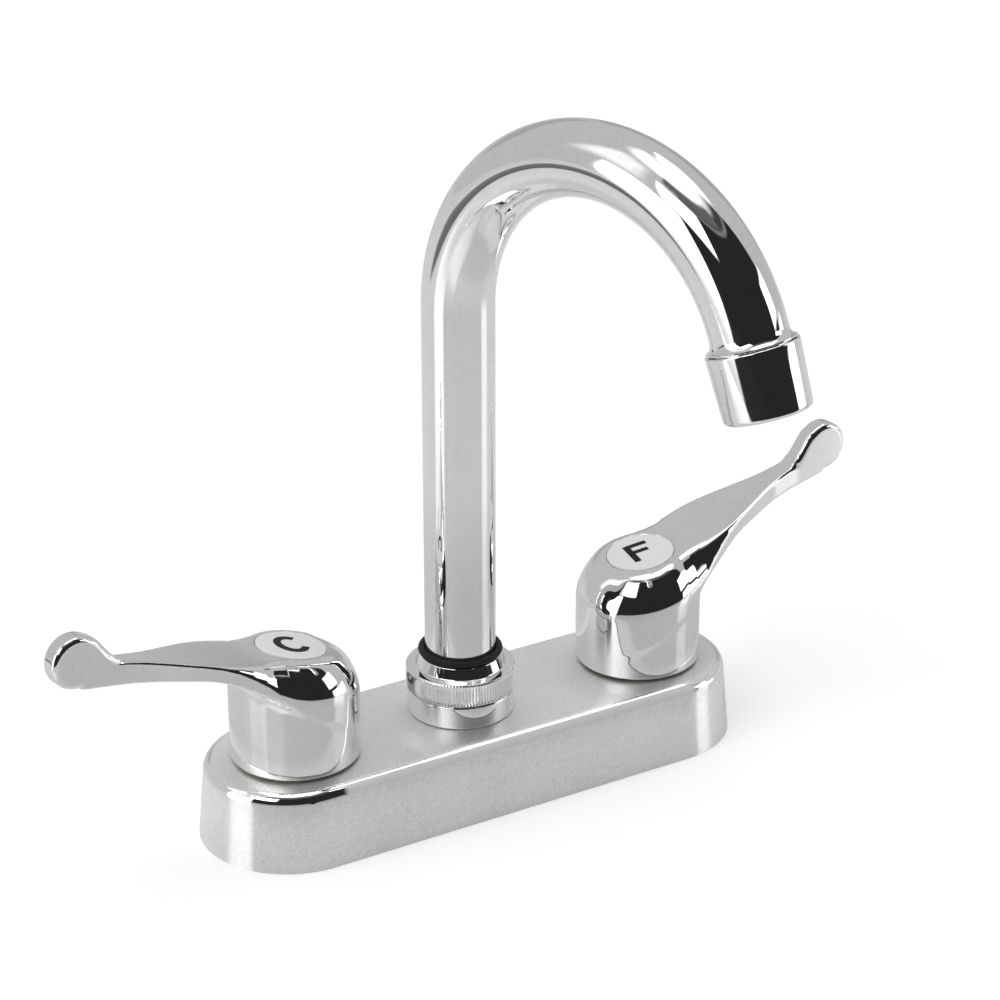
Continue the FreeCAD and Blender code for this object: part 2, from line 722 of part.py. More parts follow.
def port_cutters(name, level):
    """Two opposite openings, each a sector pushed off the middle to leave a web."""
    cutters = []
    for number in (0, 1):
        cutter = rod("%s_port_%d" % (name, number), size.port_radius - size.port_offset,
                     size.disc_thickness * 3, level - size.disc_thickness, "Z",
                     angle=size.port_angle)
        heading = 180.0 * number
        offset = Rotation(Vector(0, 0, 1), heading + value_of(size.port_angle) / 2)
        base = offset.multVec(Vector(value_of(size.port_offset), 0, 0))
        base.z = value_of(level - size.disc_thickness)
        cutter.Placement = Placement(base, Rotation(Vector(0, 0, 1), heading))
        cutters.append(cutter)
    return cutters


def fixed_disc(name, x, turn):
    blank = rod(name + "_fixed_blank", disc_radius, size.disc_thickness, seal_top, "Z")
    tools = port_cutters(name + "_fixed", seal_top)
    return stand(cut(name + "_fixed_disc", blank, tools), x, turn)


def moving_disc(name, x, turn):
    """Turning disc: its openings stand a quarter turn off the fixed ones when shut."""
    blank = rod(name + "_moving_blank", disc_radius, size.disc_thickness, moving_bottom, "Z")
    tools = port_cutters(name + "_moving", moving_bottom)
    slot = block(name + "_slot", size.tongue_width + size.disc_clearance * 2,
                 disc_radius * 3, size.disc_thickness,
                 moving_top - size.tongue_height - size.disc_clearance)
    tools.append(slot)
    return stand(cut(name + "_moving_disc", blank, tools), x, turn)


def stem(name, x, turn):
    """Stem with drive tongue, seal groove, clip groove and serrated end."""
    ring_groove = size.stem_radius + size.stem_clearance - size.ring_clearance - size.ring_section
    ring_middle = size.housing_top - size.ring_depth
    ring_low = ring_middle - size.groove_width / 2
    ring_high = ring_middle + size.groove_width / 2
    clip_low = size.housing_top + size.clip_gap
    clip_high = clip_low + size.clip_thickness + size.disc_clearance * 2
    shoulder = clip_high + size.clip_thickness
    tapped = size.screw_radius + size.thread_clearance
    blank = turned(name + "_stem_blank", [
        (0.0, flange_bottom), (disc_radius, flange_bottom), (disc_radius, flange_top),
        (size.stem_radius, flange_top), (size.stem_radius, ring_low),
        (ring_groove, ring_low), (ring_groove, ring_high), (size.stem_radius, ring_high),
        (size.stem_radius, clip_low), (size.spline_radius, clip_low),
        (size.spline_radius, clip_high), (size.stem_radius, clip_high),
        (size.stem_radius, shoulder), (size.spline_radius, shoulder),
        (size.spline_radius, size.stem_top), (tapped, size.stem_top),
        (tapped, size.screw_tip - size.screw_clearance), (0.0, size.screw_tip - size.screw_clearance),
    ])
    tongue = block(name + "_tongue", size.tongue_width, size.tongue_length, size.tongue_height * 2,
                   flange_bottom - size.tongue_height)
    stand(joined(name + "_stem", [blank, tongue]), x, turn)
    seal = ring(name + "_stem_ring", ring_groove + ring_radius, ring_radius - size.ring_slack,
                ring_middle)
    stand(seal, x, level=ring_middle)
    clip_level = clip_low + size.disc_clearance
    outer = turned(name + "_clip_blank", [
        (size.spline_radius + size.thread_clearance, clip_level),
        (size.clip_radius, clip_level),
        (size.clip_radius, clip_level + size.clip_thickness),
        (size.spline_radius + size.thread_clearance, clip_level + size.clip_thickness),
    ])
    mouth = block(name + "_clip_mouth", size.clip_radius, size.clip_opening,
                  size.clip_thickness * 3, clip_level - size.clip_thickness,
                  size.clip_radius / 2 + size.spline_radius / 2)
    stand(cut(name + "_stem_clip", outer, [mouth]), x, turn)


# Levers

def tangent_arc(corner, before, after, radius):
    """Start, middle and end of the arc that rounds a corner between two straight runs."""
    back = (before - corner).normalize()
    ahead = (after - corner).normalize()
    half = back.getAngle(ahead) / 2
    start = corner + back * (radius / math.tan(half))
    end = corner + ahead * (radius / math.tan(half))
    bisector = (back + ahead).normalize()
    middle = corner + bisector * (radius / math.sin(half) - radius)
    return start, middle, end


def arc_through(start, middle, end):
    return Part.Arc(start, middle, end).toShape()


def straight(start, end):
    return Part.LineSegment(start, end).toShape()


def slope_of(angle):
    """Direction in the X-Z plane that climbs at an angle in degrees."""
    return Vector(1, 0, math.tan(math.radians(angle.value)))


def climb(start, end):
    """Direction in the X-Z plane from one point to another, with an X of one."""
    return (end - start) / (end.x - start.x)


def lower_touch(point, centre, radius):
    """Where a line from a point touches the underside of a circle in the X-Z plane."""
    away = centre - point
    line = math.atan2(away.z, away.x) - math.asin(radius / away.Length)
    return centre + Vector(math.sin(line), 0, -math.cos(line)) * radius


def arm_outline():
    """Side view of hub face and arm, in the X-Z plane, ending inside the paddle."""
    tilt = slope_of(size.face_tilt)
    root = slope_of(size.root_rise)
    reach = size.hub_radius.value * 1.5
    neck = size.neck_distance.value
    inside = size.hub_radius.value - size.hub_wall.value
    middle = Vector(size.paddle_distance.value, 0, size.paddle_height.value)

    face_bend = Vector(0, 0, size.hub_top.value) + tilt * size.arm_bend.value
    face_start = face_bend - tilt * (size.arm_bend.value + reach)
    face_end = middle - Vector(size.arm_end_inset.value, 0, size.arm_end_drop.value)
    rise = climb(face_bend, face_end)
    neck_top = face_bend + rise * (neck - size.arm_bend.value)
    neck_bottom = neck_top - Vector(0, 0, size.arm_depth.value)
    lower_end = lower_touch(neck_bottom, middle, size.paddle_radius.value)
    under = climb(neck_bottom, lower_end)
    root_bend = neck_bottom - under * (neck - size.root_distance.value)
    lower_start = root_bend - root * (size.root_distance.value - inside)
    below = Vector(-reach, 0, lower_start.z)
    upper = tangent_arc(face_bend, face_start, face_end, size.arm_bend_radius.value)
    lower = tangent_arc(root_bend, lower_end, lower_start, size.root_radius.value)
    return Part.Wire([
        straight(face_start, upper[0]),
        arc_through(*upper),
        straight(upper[2], face_end),
        straight(face_end, lower_end),
        straight(lower_end, lower[0]),
        arc_through(*lower),
        straight(lower[2], lower_start),
        straight(lower_start, below),
        straight(below, face_start),
    ])


def cheek_outline():
    """Plan of the arm: cheeks tangent to the hub that narrow to an upright blade."""
    radius = size.hub_radius.value
    neck = Vector(size.neck_distance.value, size.paddle_half_width.value, 0)
    tip_reach = size.paddle_distance.value + size.paddle_radius.value * 2
    tip = Vector(tip_reach, size.paddle_half_width.value, 0)
    lean = math.atan2(neck.y, neck.x) + math.acos(radius / neck.Length)
    touch = Vector(radius * math.cos(lean), radius * math.sin(lean), 0)
    first, middle, last = tangent_arc(neck, touch, tip, size.waist_radius.value)

    def other(point):
        return Vector(point.x, -point.y, 0)

    return Part.Wire([
        straight(touch, first),
        arc_through(first, middle, last),
        straight(last, tip),
        straight(tip, other(tip)),
        straight(other(tip), other(last)),
        arc_through(other(last), other(middle), other(first)),
        straight(other(first), other(touch)),
        arc_through(other(touch), Vector(-radius, 0, 0), touch),
    ])


def lever_blank(name):
    """Hub and arm before any rounding."""
    top = size.hub_top.value
    reach = size.hub_radius.value * 2
    width = Vector(0, reach, 0)
    outline = arm_outline()
    outline.translate(-width / 2)
    band = Part.Face(outline).extrude(width)
    cheeks = Part.Face(cheek_outline()).extrude(Vector(0, 0, top * 2))
    arm = band.common(cheeks)
    tilt = math.tan(math.radians(size.face_tilt.value))
    bottom = hub_bottom.value
    side = Part.makePolygon([
        Vector(-reach, -reach, bottom), Vector(reach, -reach, bottom),
        Vector(reach, -reach, top + reach * tilt), Vector(-reach, -reach, top - reach * tilt),
        Vector(-reach, -reach, bottom),
    ])
    under_face = Part.Face(side).extrude(Vector(0, reach * 2, 0))
    drum = Part.makeCylinder(size.hub_radius.value, top * 2)
    hub = drum.common(under_face)
    piece = doc.addObject("Part::Feature", name + "_lever_blank")
    piece.Shape = hub.fuse(arm).removeSplitter()
    return piece


def rounding_at(x):
    """Radius of the face's edge: the dome round the hub, thinning out along the arm."""
    end = size.neck_distance.value
    share = min(max(x / end, 0.0), 1.0)
    return size.dome_radius.value + (size.edge_rounding.value - size.dome_radius.value) * share


def face_edges(shape):
    """Numbers and end radii of the edges round the upper face, up to the arm's end."""
    tilt = math.tan(math.radians(size.face_tilt.value))
    found = []
    for number, edge in enumerate(shape.Edges, start=1):
        middle = edge.valueAt((edge.FirstParameter + edge.LastParameter) / 2)
        first = edge.firstVertex().Point
        last = edge.lastVertex().Point
        below = middle.z < size.hub_top.value + middle.x * tilt - size.edge_rounding.value
        level = abs(first.x - last.x) < 0.01
        if below or level and middle.x > 0 or abs(middle.y) < 0.01 < middle.x:
            continue
        found.append((number, rounding_at(first.x), rounding_at(last.x)))
    return found


def paddle(name):
    """Round upright disc with a rounded rim, at the arm's end."""
    half = size.paddle_half_width
    radius = size.paddle_radius
    edge = size.paddle_edge
    body = new_body(name + "_paddle")
    sketch = add_sketch(body, "XY_Plane", "Profile")
    polygon(sketch, [(0.0, -half), (radius, -half), (radius, half), (0.0, half)])
    turn = body.newObject("PartDesign::Revolution", "Disc")
    turn.Profile = sketch
    turn.ReferenceAxis = (sketch, ["V_Axis"])
    turn.Angle = 360
    doc.recompute()
    rims = []
    for number, rim in enumerate(turn.Shape.Edges, start=1):
        if rim.Closed:
            rims.append("Edge%d" % number)
    rounding = body.newObject("PartDesign::Fillet", "Rim")
    rounding.Base = (turn, rims)
    rounding.Radius = value_of(edge)
    bind(rounding, "Radius", edge)
    body.Placement = Placement(Vector(size.paddle_distance.value, 0, size.paddle_height.value),
                               Rotation())
    bind(body, ".Placement.Base.x", size.paddle_distance)
    bind(body, ".Placement.Base.z", size.paddle_height)
    return body


def lever(name, x, turn):
    """One casting: hub, arm and paddle, hollow below, with recess, bore and screw hole."""
    blank = lever_blank(name)
    rounded = doc.addObject("Part::Fillet", name + "_lever_rounded")
    rounded.Base = blank
    rounded.Edges = face_edges(blank.Shape)
    casting = joined(name + "_lever_casting", [rounded, paddle(name)])
    cavity = size.hub_radius - size.hub_wall
    boss_bottom = size.cavity_top - size.boss_drop
    bore = size.spline_radius + size.stem_clearance
    bore_top = size.stem_top + size.stem_clearance * 6
    hole = size.screw_radius + size.screw_clearance
    head = size.screw_head_radius + size.screw_clearance
    head_top = size.screw_seat + size.screw_head_height * 2
    tools = [
        turned(name + "_lever_cavity", [
            (0.0, hub_bottom - 1.0), (cavity, hub_bottom - 1.0), (cavity, size.cavity_top),
            (size.boss_radius, size.cavity_top), (size.boss_radius, boss_bottom),
            (0.0, boss_bottom),
        ]),
        turned(name + "_lever_bore", [
            (0.0, boss_bottom - 1.0), (bore, boss_bottom - 1.0), (bore, bore_top),
            (hole, bore_top), (hole, size.screw_seat), (head, size.screw_seat),
            (head, head_top), (0.0, head_top),
        ]),
        turned(name + "_lever_recess", [
            (0.0, -size.index_recess), (size.index_radius + size.index_clearance,
                                        -size.index_recess),
            (size.index_radius + size.index_clearance, size.index_recess * 4),
            (0.0, size.index_recess * 4),
        ]),
    ]
    tools[2].Placement = face_placement()
    return stand(cut(name + "_lever", casting, tools), x, turn)


def face_placement():
    """The middle of the index disc on the tilted face, with Z along the face's normal."""
    tilt = size.face_tilt.value
    offset = size.index_offset.value
    height = size.hub_top.value + offset * math.tan(math.radians(tilt))
    return Placement(Vector(offset, 0, height), Rotation(Vector(0, 1, 0), -tilt))


def index_disc(name, x, turn):
    """White disc with a slightly bulging face, let into the hub."""
    floor = -size.index_recess
    rim = floor + size.index_thickness
    disc = turned(name + "_index_disc", [
        (0.0, floor), (size.index_radius, floor), (size.index_radius, rim),
        (size.index_radius * 0.96, rim + size.index_crown * 0.5),
        (size.index_radius * 0.6, rim + size.index_crown * 0.85),
        (0.0, rim + size.index_crown),
    ])
    upright = Placement(Vector(x.value, 0, 0), Rotation(Vector(0, 0, 1), turn.value))
    disc.Placement = upright.multiply(face_placement())
    return keep(disc)


def handle_screw(name, x):
    head_top = size.screw_seat + size.screw_head_height
    socket = size.screw_head_radius * 0.4
    socket_floor = head_top - size.screw_head_height * 0.6
    return stand(turned(name + "_handle_screw", [
        (0.0, size.screw_tip), (size.screw_radius, size.screw_tip),
        (size.screw_radius, size.screw_seat), (size.screw_head_radius, size.screw_seat),
        (size.screw_head_radius, head_top), (socket, head_top), (socket, socket_floor),
        (0.0, socket_floor),
    ]), x)


# Spout nut and spout

def spout_nut():
    """Skirt in the post's groove, knurled band and conical neck round the tube."""
    thread = size.post_thread_radius + size.thread_clearance
    skirt = size.post_flange_radius - size.post_flange_rim - size.thread_clearance * 2
    skirt_bottom = deck_top + size.post_flange_floor + size.nut_gap
    lip = size.tube_radius + size.lip_clearance
    pocket = size.collar_radius + size.lip_clearance
    pocket_bottom = post_top + size.nut_gap
    pocket_top = tube_bottom + size.nut_gap
    chamfer = size.nut_band_chamfer
    return stand(turned("spout_nut", [
        (thread, skirt_bottom), (skirt, skirt_bottom), (skirt, nut_band_bottom),
        (size.nut_band_radius - chamfer, nut_band_bottom),
        (size.nut_band_radius, nut_band_bottom + chamfer),
        (size.nut_band_radius, nut_band_top - chamfer),
        (size.nut_band_radius - chamfer, nut_band_top),
        (size.nut_neck_wide, nut_band_top), (size.nut_neck_narrow, nut_neck_top),
        (lip, nut_neck_top), (lip, pocket_top), (pocket, pocket_top),
        (pocket, pocket_bottom), (thread, pocket_bottom),
    ]), spout_axis)


def friction_washer():
    inner = size.post_bore_radius + size.thread_clearance
    outer = size.post_thread_radius
    top = post_top + size.friction_washer
    return stand(turned("spout_friction_washer", [
        (inner, post_top), (outer, post_top), (outer, top), (inner, top),
    ]), spout_axis)


def spout_turn():
    return size.spout_rest_turn - 90.0


def spout_collar():
    """Ferrule brazed to the tube: bearing with two ring grooves, flange and spigot."""
    bearing = size.post_bore_radius - size.bearing_clearance
    bottom = size.post_shank_tip + size.collar_foot_gap
    groove = size.post_bore_radius - size.ring_clearance - size.ring_section
    lower_ring = bottom + size.lower_ring_rise
    upper_ring = lower_ring + size.ring_spacing
    half_groove = size.groove_width / 2
    spigot = tube_bore - size.braze_gap
    profile = [(size.collar_bore_radius, bottom), (bearing, bottom)]
    for level in (lower_ring, upper_ring):
        profile += [(bearing, level - half_groove), (groove, level - half_groove),
                    (groove, level + half_groove), (bearing, level + half_groove)]
    profile += [
        (bearing, collar_bottom_face), (size.collar_radius, collar_bottom_face),
        (size.collar_radius, tube_bottom), (spigot, tube_bottom),
        (spigot, tube_bottom + size.spigot_length),
        (size.collar_bore_radius, tube_bottom + size.spigot_length),
    ]
    stand(turned("spout_collar", profile), spout_axis, spout_turn())
    for name, level in (("lower", lower_ring), ("upper", upper_ring)):
        seal = ring("spout_%s_seal" % name, groove + ring_radius, ring_radius - size.ring_slack, level)
        stand(seal, spout_axis, level=level)


def spout_tube():
    """Hollow gooseneck: a straight riser and one arc, bending towards +X before it is turned."""
    body = new_body("spout_tube")
    section = add_sketch(body, "XY_Plane", "Section", tube_bottom)
    circle(section, 0.0, 0.0, size.tube_radius)
    circle(section, 0.0, 0.0, tube_bore)
    path = add_sketch(body, "XZ_Plane", "Path")
    start = value_of(tube_bottom)
    bend = size.bend_start.value
    radius = size.bend_radius.value
    over = math.radians(size.bend_angle.value)
    riser = path.addGeometry(Part.LineSegment(Vector(0, start, 0), Vector(0, bend, 0)), False)
    curve = Part.Circle(Vector(radius, bend, 0), Vector(0, 0, 1), radius)
    arc = path.addGeometry(Part.ArcOfCircle(curve, math.pi - over, math.pi), False)
    fix(path, "DistanceX", riser, 1, 0.0)
    fix(path, "DistanceY", riser, 1, tube_bottom)
    fix(path, "DistanceX", riser, 2, 0.0)
    fix(path, "DistanceY", riser, 2, size.bend_start)
    path.addConstraint(Sketcher.Constraint("Coincident", riser, 2, arc, 2))
    fix(path, "DistanceX", arc, 3, size.bend_radius)
    fix(path, "DistanceY", arc, 3, size.bend_start)
    sweep = path.addConstraint(Sketcher.Constraint("Angle", arc, over))
    path.setExpression("Constraints[%d]" % sweep, size.bend_angle.text + " * 1 deg")
    pipe = body.newObject("PartDesign::AdditivePipe", "Gooseneck")
    pipe.Profile = section
    pipe.Spine = (path, [])
    stand(body, spout_axis, spout_turn())
    return body


def outlet_placement():
    """The tube's end, with Z along the flow."""
    over = size.bend_angle.value
    angle = math.radians(over)
    radius = size.bend_radius.value
    end = Vector(radius * (1 - math.cos(angle)), 0,
                 size.bend_start.value + radius * math.sin(angle))
    in_plane = Placement(end, Rotation(Vector(0, 1, 0), over))
    upright = Placement(Vector(spout_axis.value, 0, 0),
                        Rotation(Vector(0, 0, 1), spout_turn().value))
    return upright.multiply(in_plane)


def on_outlet(piece):
    piece.Placement = outlet_placement()
    return keep(piece)


def outlet():
    """Sleeve, aerator housing and what the housing holds, along the flow from the tube."""
    flare = size.sleeve_flare_height
    thread_end = flare + size.sleeve_thread_length
    on_outlet(turned("outlet_sleeve", [
        (size.sleeve_bore_radius, -size.sleeve_spigot),
        (tube_bore - size.braze_gap, -size.sleeve_spigot),
        (tube_bore - size.braze_gap, 0.0), (size.tube_radius, 0.0),
        (size.sleeve_flare_radius, flare), (size.sleeve_thread_radius, flare),
        (size.sleeve_thread_radius, thread_end), (size.sleeve_bore_radius, thread_end),
    ]))
    top = flare + size.nut_gap
    bottom = top + size.aerator_length
    thread = size.sleeve_thread_radius + size.thread_clearance
    lip_top = bottom - size.aerator_lip
    narrow = size.aerator_radius - size.aerator_taper
    rounding = size.aerator_chamfer
    on_outlet(turned("aerator_housing", [
        (thread, top), (size.aerator_radius - rounding / 3, top),
        (size.aerator_radius, top + rounding / 3), (narrow, bottom - rounding),
        (narrow - rounding, bottom), (size.aerator_lip_radius, bottom),
        (size.aerator_lip_radius, lip_top), (thread, lip_top),
    ]))
    washer_end = thread_end + size.outlet_washer
    inner = thread - size.thread_clearance
    on_outlet(turned("aerator_washer", [
        (size.sleeve_bore_radius, thread_end), (inner, thread_end),
        (inner, washer_end), (size.sleeve_bore_radius, washer_end),
    ]))
    screen_top = lip_top - size.screen_thickness
    insert = turned("aerator_insert_blank", [
        (0.0, washer_end), (inner, washer_end), (inner, screen_top), (0.0, screen_top),
    ])
    holes = []
    count = int(size.insert_hole_count.value)
    for number in range(count):
        hole = rod("insert_hole_%d" % number, size.insert_hole_radius,
                   size.aerator_length, 0.0, "Z")
        turn = Rotation(Vector(0, 0, 1), 360.0 * number / count)
        hole.Placement = Placement(turn.multVec(Vector(size.insert_hole_circle.value, 0, 0)),
                                   Rotation())
        holes.append(hole)
    on_outlet(cut("aerator_insert", insert, holes))
    plate = turned("aerator_screen_blank", [
        (0.0, screen_top), (inner, screen_top), (inner, lip_top), (0.0, lip_top),
    ])
    pitch = size.screen_pitch.value
    slot_width = size.screen_pitch - size.screen_bar
    reach = size.aerator_lip_radius.value - size.screen_bar.value
    slots = []
    across = int(reach / pitch)
    for number in range(-across, across + 1):
        offset = number * pitch
        half = math.sqrt(max(reach ** 2 - (abs(offset) + slot_width.value / 2) ** 2, 0.0))
        if half < pitch:
            continue
        slot = doc.addObject("Part::Box", "screen_slot_%d" % (number + across))
        slot.Length = half * 2
        slot.Width = slot_width.value
        slot.Height = size.screen_thickness.value * 3
        level = screen_top.value - size.screen_thickness.value
        slot.Placement = Placement(Vector(-half, offset - slot_width.value / 2, level), Rotation())
        slots.append(slot)
    on_outlet(cut("aerator_screen", plate, slots))


# The assembly

SIDES = (("hot", -1), ("cold", 1))

base_cover()
base_gasket()
spout_tee()
spout_post()
for name, side in SIDES:
    x = size.valve_spacing / 2 * side
    inward = Size(0.0, "0") if side < 0 else Size(180.0, "180")
    rest = size.hot_rest_turn + 180.0 if side < 0 else size.cold_rest_turn + 0.0
    valve_body(name, x, inward)
    cross_tube(name, side)
    cover_locknut(name, x)
    mount_washer(name, x)
    mount_nut(name, x)
    cartridge_housing(name, x, inward)
    seat_seal(name, x)
    fixed_disc(name, x, rest - 90.0)
    moving_disc(name, x, rest)
    stem(name, x, rest)
    lever(name, x, rest)
    index_disc(name, x, rest)
    handle_screw(name, x)
spout_nut()
friction_washer()
spout_collar()
spout_tube()
trim_level = nut_neck_top + size.trim_ring_gap + size.trim_ring_section / 2
stand(ring("spout_trim_ring", size.tube_radius + size.trim_ring_section / 2,
           size.trim_ring_section / 2, trim_level), spout_axis, level=trim_level)
outlet()
doc.recompute()

for item in doc.Objects:
    if "Invalid" in item.State or "Error" in item.State:
        raise RuntimeError("%s failed: %s" % (item.Label, item.State))

os.makedirs("parts", exist_ok=True)
for node in nodes:
    if not re.fullmatch(r"[a-z_]+", node.Label):
        raise RuntimeError("%s is no node name" % node.Label)
    if node.Shape.isNull() or not node.Shape.isValid():
        raise RuntimeError("%s has no valid shape" % node.Label)
    node.Shape.exportStep("parts/%s.step" % node.Label)
    print("%-26s %2d solid(s) %10.1f mm3" % (node.Label, len(node.Shape.Solids), node.Shape.Volume))
print(len(nodes), "nodes")
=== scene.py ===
import json
import math

import bpy
import numpy as np
from mathutils import Matrix, Vector


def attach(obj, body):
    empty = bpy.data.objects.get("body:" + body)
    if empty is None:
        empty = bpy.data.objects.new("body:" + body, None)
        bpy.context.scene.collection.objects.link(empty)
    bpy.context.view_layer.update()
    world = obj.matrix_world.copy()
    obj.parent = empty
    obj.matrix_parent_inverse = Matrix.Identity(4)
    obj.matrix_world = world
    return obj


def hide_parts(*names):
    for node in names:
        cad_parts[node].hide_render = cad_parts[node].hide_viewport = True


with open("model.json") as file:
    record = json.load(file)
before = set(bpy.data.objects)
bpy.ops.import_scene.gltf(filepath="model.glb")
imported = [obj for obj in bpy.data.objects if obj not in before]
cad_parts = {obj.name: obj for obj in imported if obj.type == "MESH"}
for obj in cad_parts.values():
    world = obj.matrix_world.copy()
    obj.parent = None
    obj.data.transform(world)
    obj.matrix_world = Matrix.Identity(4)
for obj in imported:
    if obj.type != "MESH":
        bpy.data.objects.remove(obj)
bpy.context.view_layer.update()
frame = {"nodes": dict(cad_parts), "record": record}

MM = 0.001

# The photograph's viewpoint: the camera stands there, and the studio is laid out from it
VIEW_AZIMUTH = math.radians(-31.155)
VIEW_ELEVATION = math.radians(24.291)
VIEW_DISTANCE = 0.727371
VIEW_LENS = 104.178
VIEW_HEIGHT = 0.060
VIEW_SHIFT = (0.007269, 0.01599)

# Sizes of the solids that the pieces here stand for, in millimetres
DECK_TOP = 20.7
VALVE_X = 50.8
LEVER_TURN = {"hot": 188.0, "cold": 4.0}
HUB_RADIUS = 16.3
HUB_BOTTOM = 21.5
HUB_TOP = 50.5
FACE_SLOPE = 10.0
FACE_TILT = math.radians(FACE_SLOPE)
DISC_OFFSET = 0.5
DISC_RADIUS = 8.8
DISC_THICKNESS = 1.4
DISC_EDGE = 0.4
LETTER_TOP = 0.05
LETTER_FOOT = -0.1
SPOUT_X = -3.3
SPOUT_TURN = math.radians(15.8 - 90.0)
TUBE_RADIUS = 9.02
TUBE_BORE = 7.85
TUBE_BOTTOM = 31.1
BEND_START = 130.0
BEND_RADIUS = 45.7
BEND_ANGLE = math.radians(160.0)
POST_BOTTOM = 14.0
POST_FLANGE_TOP = 26.9
POST_TOP = 29.0
BAND_BOTTOM = 27.1
BAND_TOP = 33.4
NUT_TOP = 36.28
NUT_RIBS = 110


def make_camera():
    """Camera as fitted to the base's edges, the hubs and the column in the photograph."""
    level = math.cos(VIEW_ELEVATION)
    back = Vector((math.sin(VIEW_AZIMUTH) * level, -math.cos(VIEW_AZIMUTH) * level,
                   math.sin(VIEW_ELEVATION)))
    right = Vector((math.cos(VIEW_AZIMUTH), math.sin(VIEW_AZIMUTH), 0.0))
    up = back.cross(right)
    target = Vector((0.0, 0.0, VIEW_HEIGHT)) + right * VIEW_SHIFT[0] + up * VIEW_SHIFT[1]
    data = bpy.data.cameras.new("camera")
    data.lens = VIEW_LENS
    data.sensor_width = 36.0
    data.clip_start = 0.01
    data.clip_end = 20.0
    camera = bpy.data.objects.new("camera", data)
    camera.location = target + back * VIEW_DISTANCE
    camera.rotation_mode = "QUATERNION"
    camera.rotation_quaternion = back.to_track_quat("Z", "Y")
    bpy.context.scene.collection.objects.link(camera)
    bpy.context.scene.camera = camera


make_camera()
bpy.context.scene.view_settings.view_transform = "Standard"


# Node helpers
class Tree:
    """Adds nodes to a node tree by short calls; a value may be a number or a socket."""

    def __init__(self, tree):
        self.tree = tree

    def node(self, kind, inputs=None, **settings):
        node = self.tree.nodes.new(kind)
        for key, value in settings.items():
            setattr(node, key, value)
        for key, value in (inputs or {}).items():
            self.put(value, node.inputs[key])
        return node

    def put(self, value, socket):
        if isinstance(value, bpy.types.NodeSocket):
            self.tree.links.new(value, socket)
        else:
            socket.default_value = value

    def math(self, operation, a, b=None, c=None):
        node = self.node("ShaderNodeMath", operation=operation)
        for index, value in enumerate((a, b, c)):
            if value is not None:
                self.put(value, node.inputs[index])
        return node.outputs[0]

    def span(self, value, low, high, start=0.0, end=1.0):
        node = self.node("ShaderNodeMapRange", {"Value": value}, interpolation_type="SMOOTHSTEP")
        for key, number in (("From Min", low), ("From Max", high), ("To Min", start), ("To Max", end)):
            node.inputs[key].default_value = number
        return node.outputs["Result"]

    def window(self, value, low, high, soft):
        """1 between low and high, falling to 0 at both over the soft width inside them."""
        return self.math("MULTIPLY", self.span(value, low, low + soft),
                         self.span(value, high - soft, high, 1.0, 0.0))

    def room_azimuth(self, x, y):
        """Degrees round the studio from its front, which is the photograph's side."""
        front = self.math("ADD", self.math("MULTIPLY", x, math.sin(VIEW_AZIMUTH)),
                          self.math("MULTIPLY", y, -math.cos(VIEW_AZIMUTH)))
        side = self.math("ADD", self.math("MULTIPLY", x, math.cos(VIEW_AZIMUTH)),
                         self.math("MULTIPLY", y, math.sin(VIEW_AZIMUTH)))
        return self.math("MULTIPLY", self.math("ARCTAN2", side, front), 180 / math.pi)

    def noise(self, vector, scale, detail=2.0, roughness=0.5):
        return self.node("ShaderNodeTexNoise", {"Vector": vector, "Scale": scale, "Detail": detail,
                                                "Roughness": roughness}).outputs["Fac"]

    def ramp(self, value, stops):
        node = self.node("ShaderNodeValToRGB", {"Fac": value})
        ramp = node.color_ramp
        while len(ramp.elements) < len(stops):
            ramp.elements.new(0.5)
        for element, (place, colour) in zip(ramp.elements, stops):
            element.position = place
            element.color = (*colour, 1.0)
        return node.outputs["Color"]

    def bump(self, height, distance):
        return self.node("ShaderNodeBump", {"Height": height, "Distance": distance}).outputs["Normal"]


def shades(low, high, low_colour, high_colour):
    """Two stops for a colour ramp."""
    return [(low, low_colour), (high, high_colour)]


def scaled(tone, factor):
    """A tone made darker or lighter, never above white."""
    return tuple(min(channel * factor, 1.0) for channel in tone)


def new_material(name):
    material = bpy.data.materials.new(name)
    material.use_nodes = True
    tree = Tree(material.node_tree)
    shader = material.node_tree.nodes["Principled BSDF"]
    place = tree.node("ShaderNodeTexCoord").outputs["Object"]
    return material, tree, shader, place


def chrome(name, tone, rough, peel, scratch):
    """Plated chrome: a faint orange peel, thin wiping marks and a breath of haze."""
    material, tree, shader, place = new_material(name)
    shader.inputs["Metallic"].default_value = 1.0
    haze = tree.noise(place, 55.0, 3.0)
    fine = tree.noise(place, 900.0, 2.0)
    blend = tree.math("ADD", tree.math("MULTIPLY", haze, 0.5), tree.math("MULTIPLY", fine, 0.5))
    tree.put(tree.ramp(blend, shades(0.38, 0.6, scaled(tone, 0.93), tone)), shader.inputs["Base Color"])
    tree.put(tree.span(tree.math("ADD", haze, tree.math("MULTIPLY", fine, 0.5)), 0.45, 1.05,
                       rough * 0.6, rough * 1.5), shader.inputs["Roughness"])
    peel_height = tree.noise(place, 260.0, 2.0)
    stretched = tree.node("ShaderNodeMapping", {"Vector": place, "Scale": (60.0, 900.0, 260.0),
                                                "Rotation": (0.3, 0.2, 0.5)}).outputs["Vector"]
    marks = tree.noise(stretched, 1.0, 4.0, 0.7)
    height = tree.math("ADD", peel_height, tree.math("MULTIPLY", marks, scratch))
    tree.put(tree.bump(height, peel), shader.inputs["Normal"])
    return material


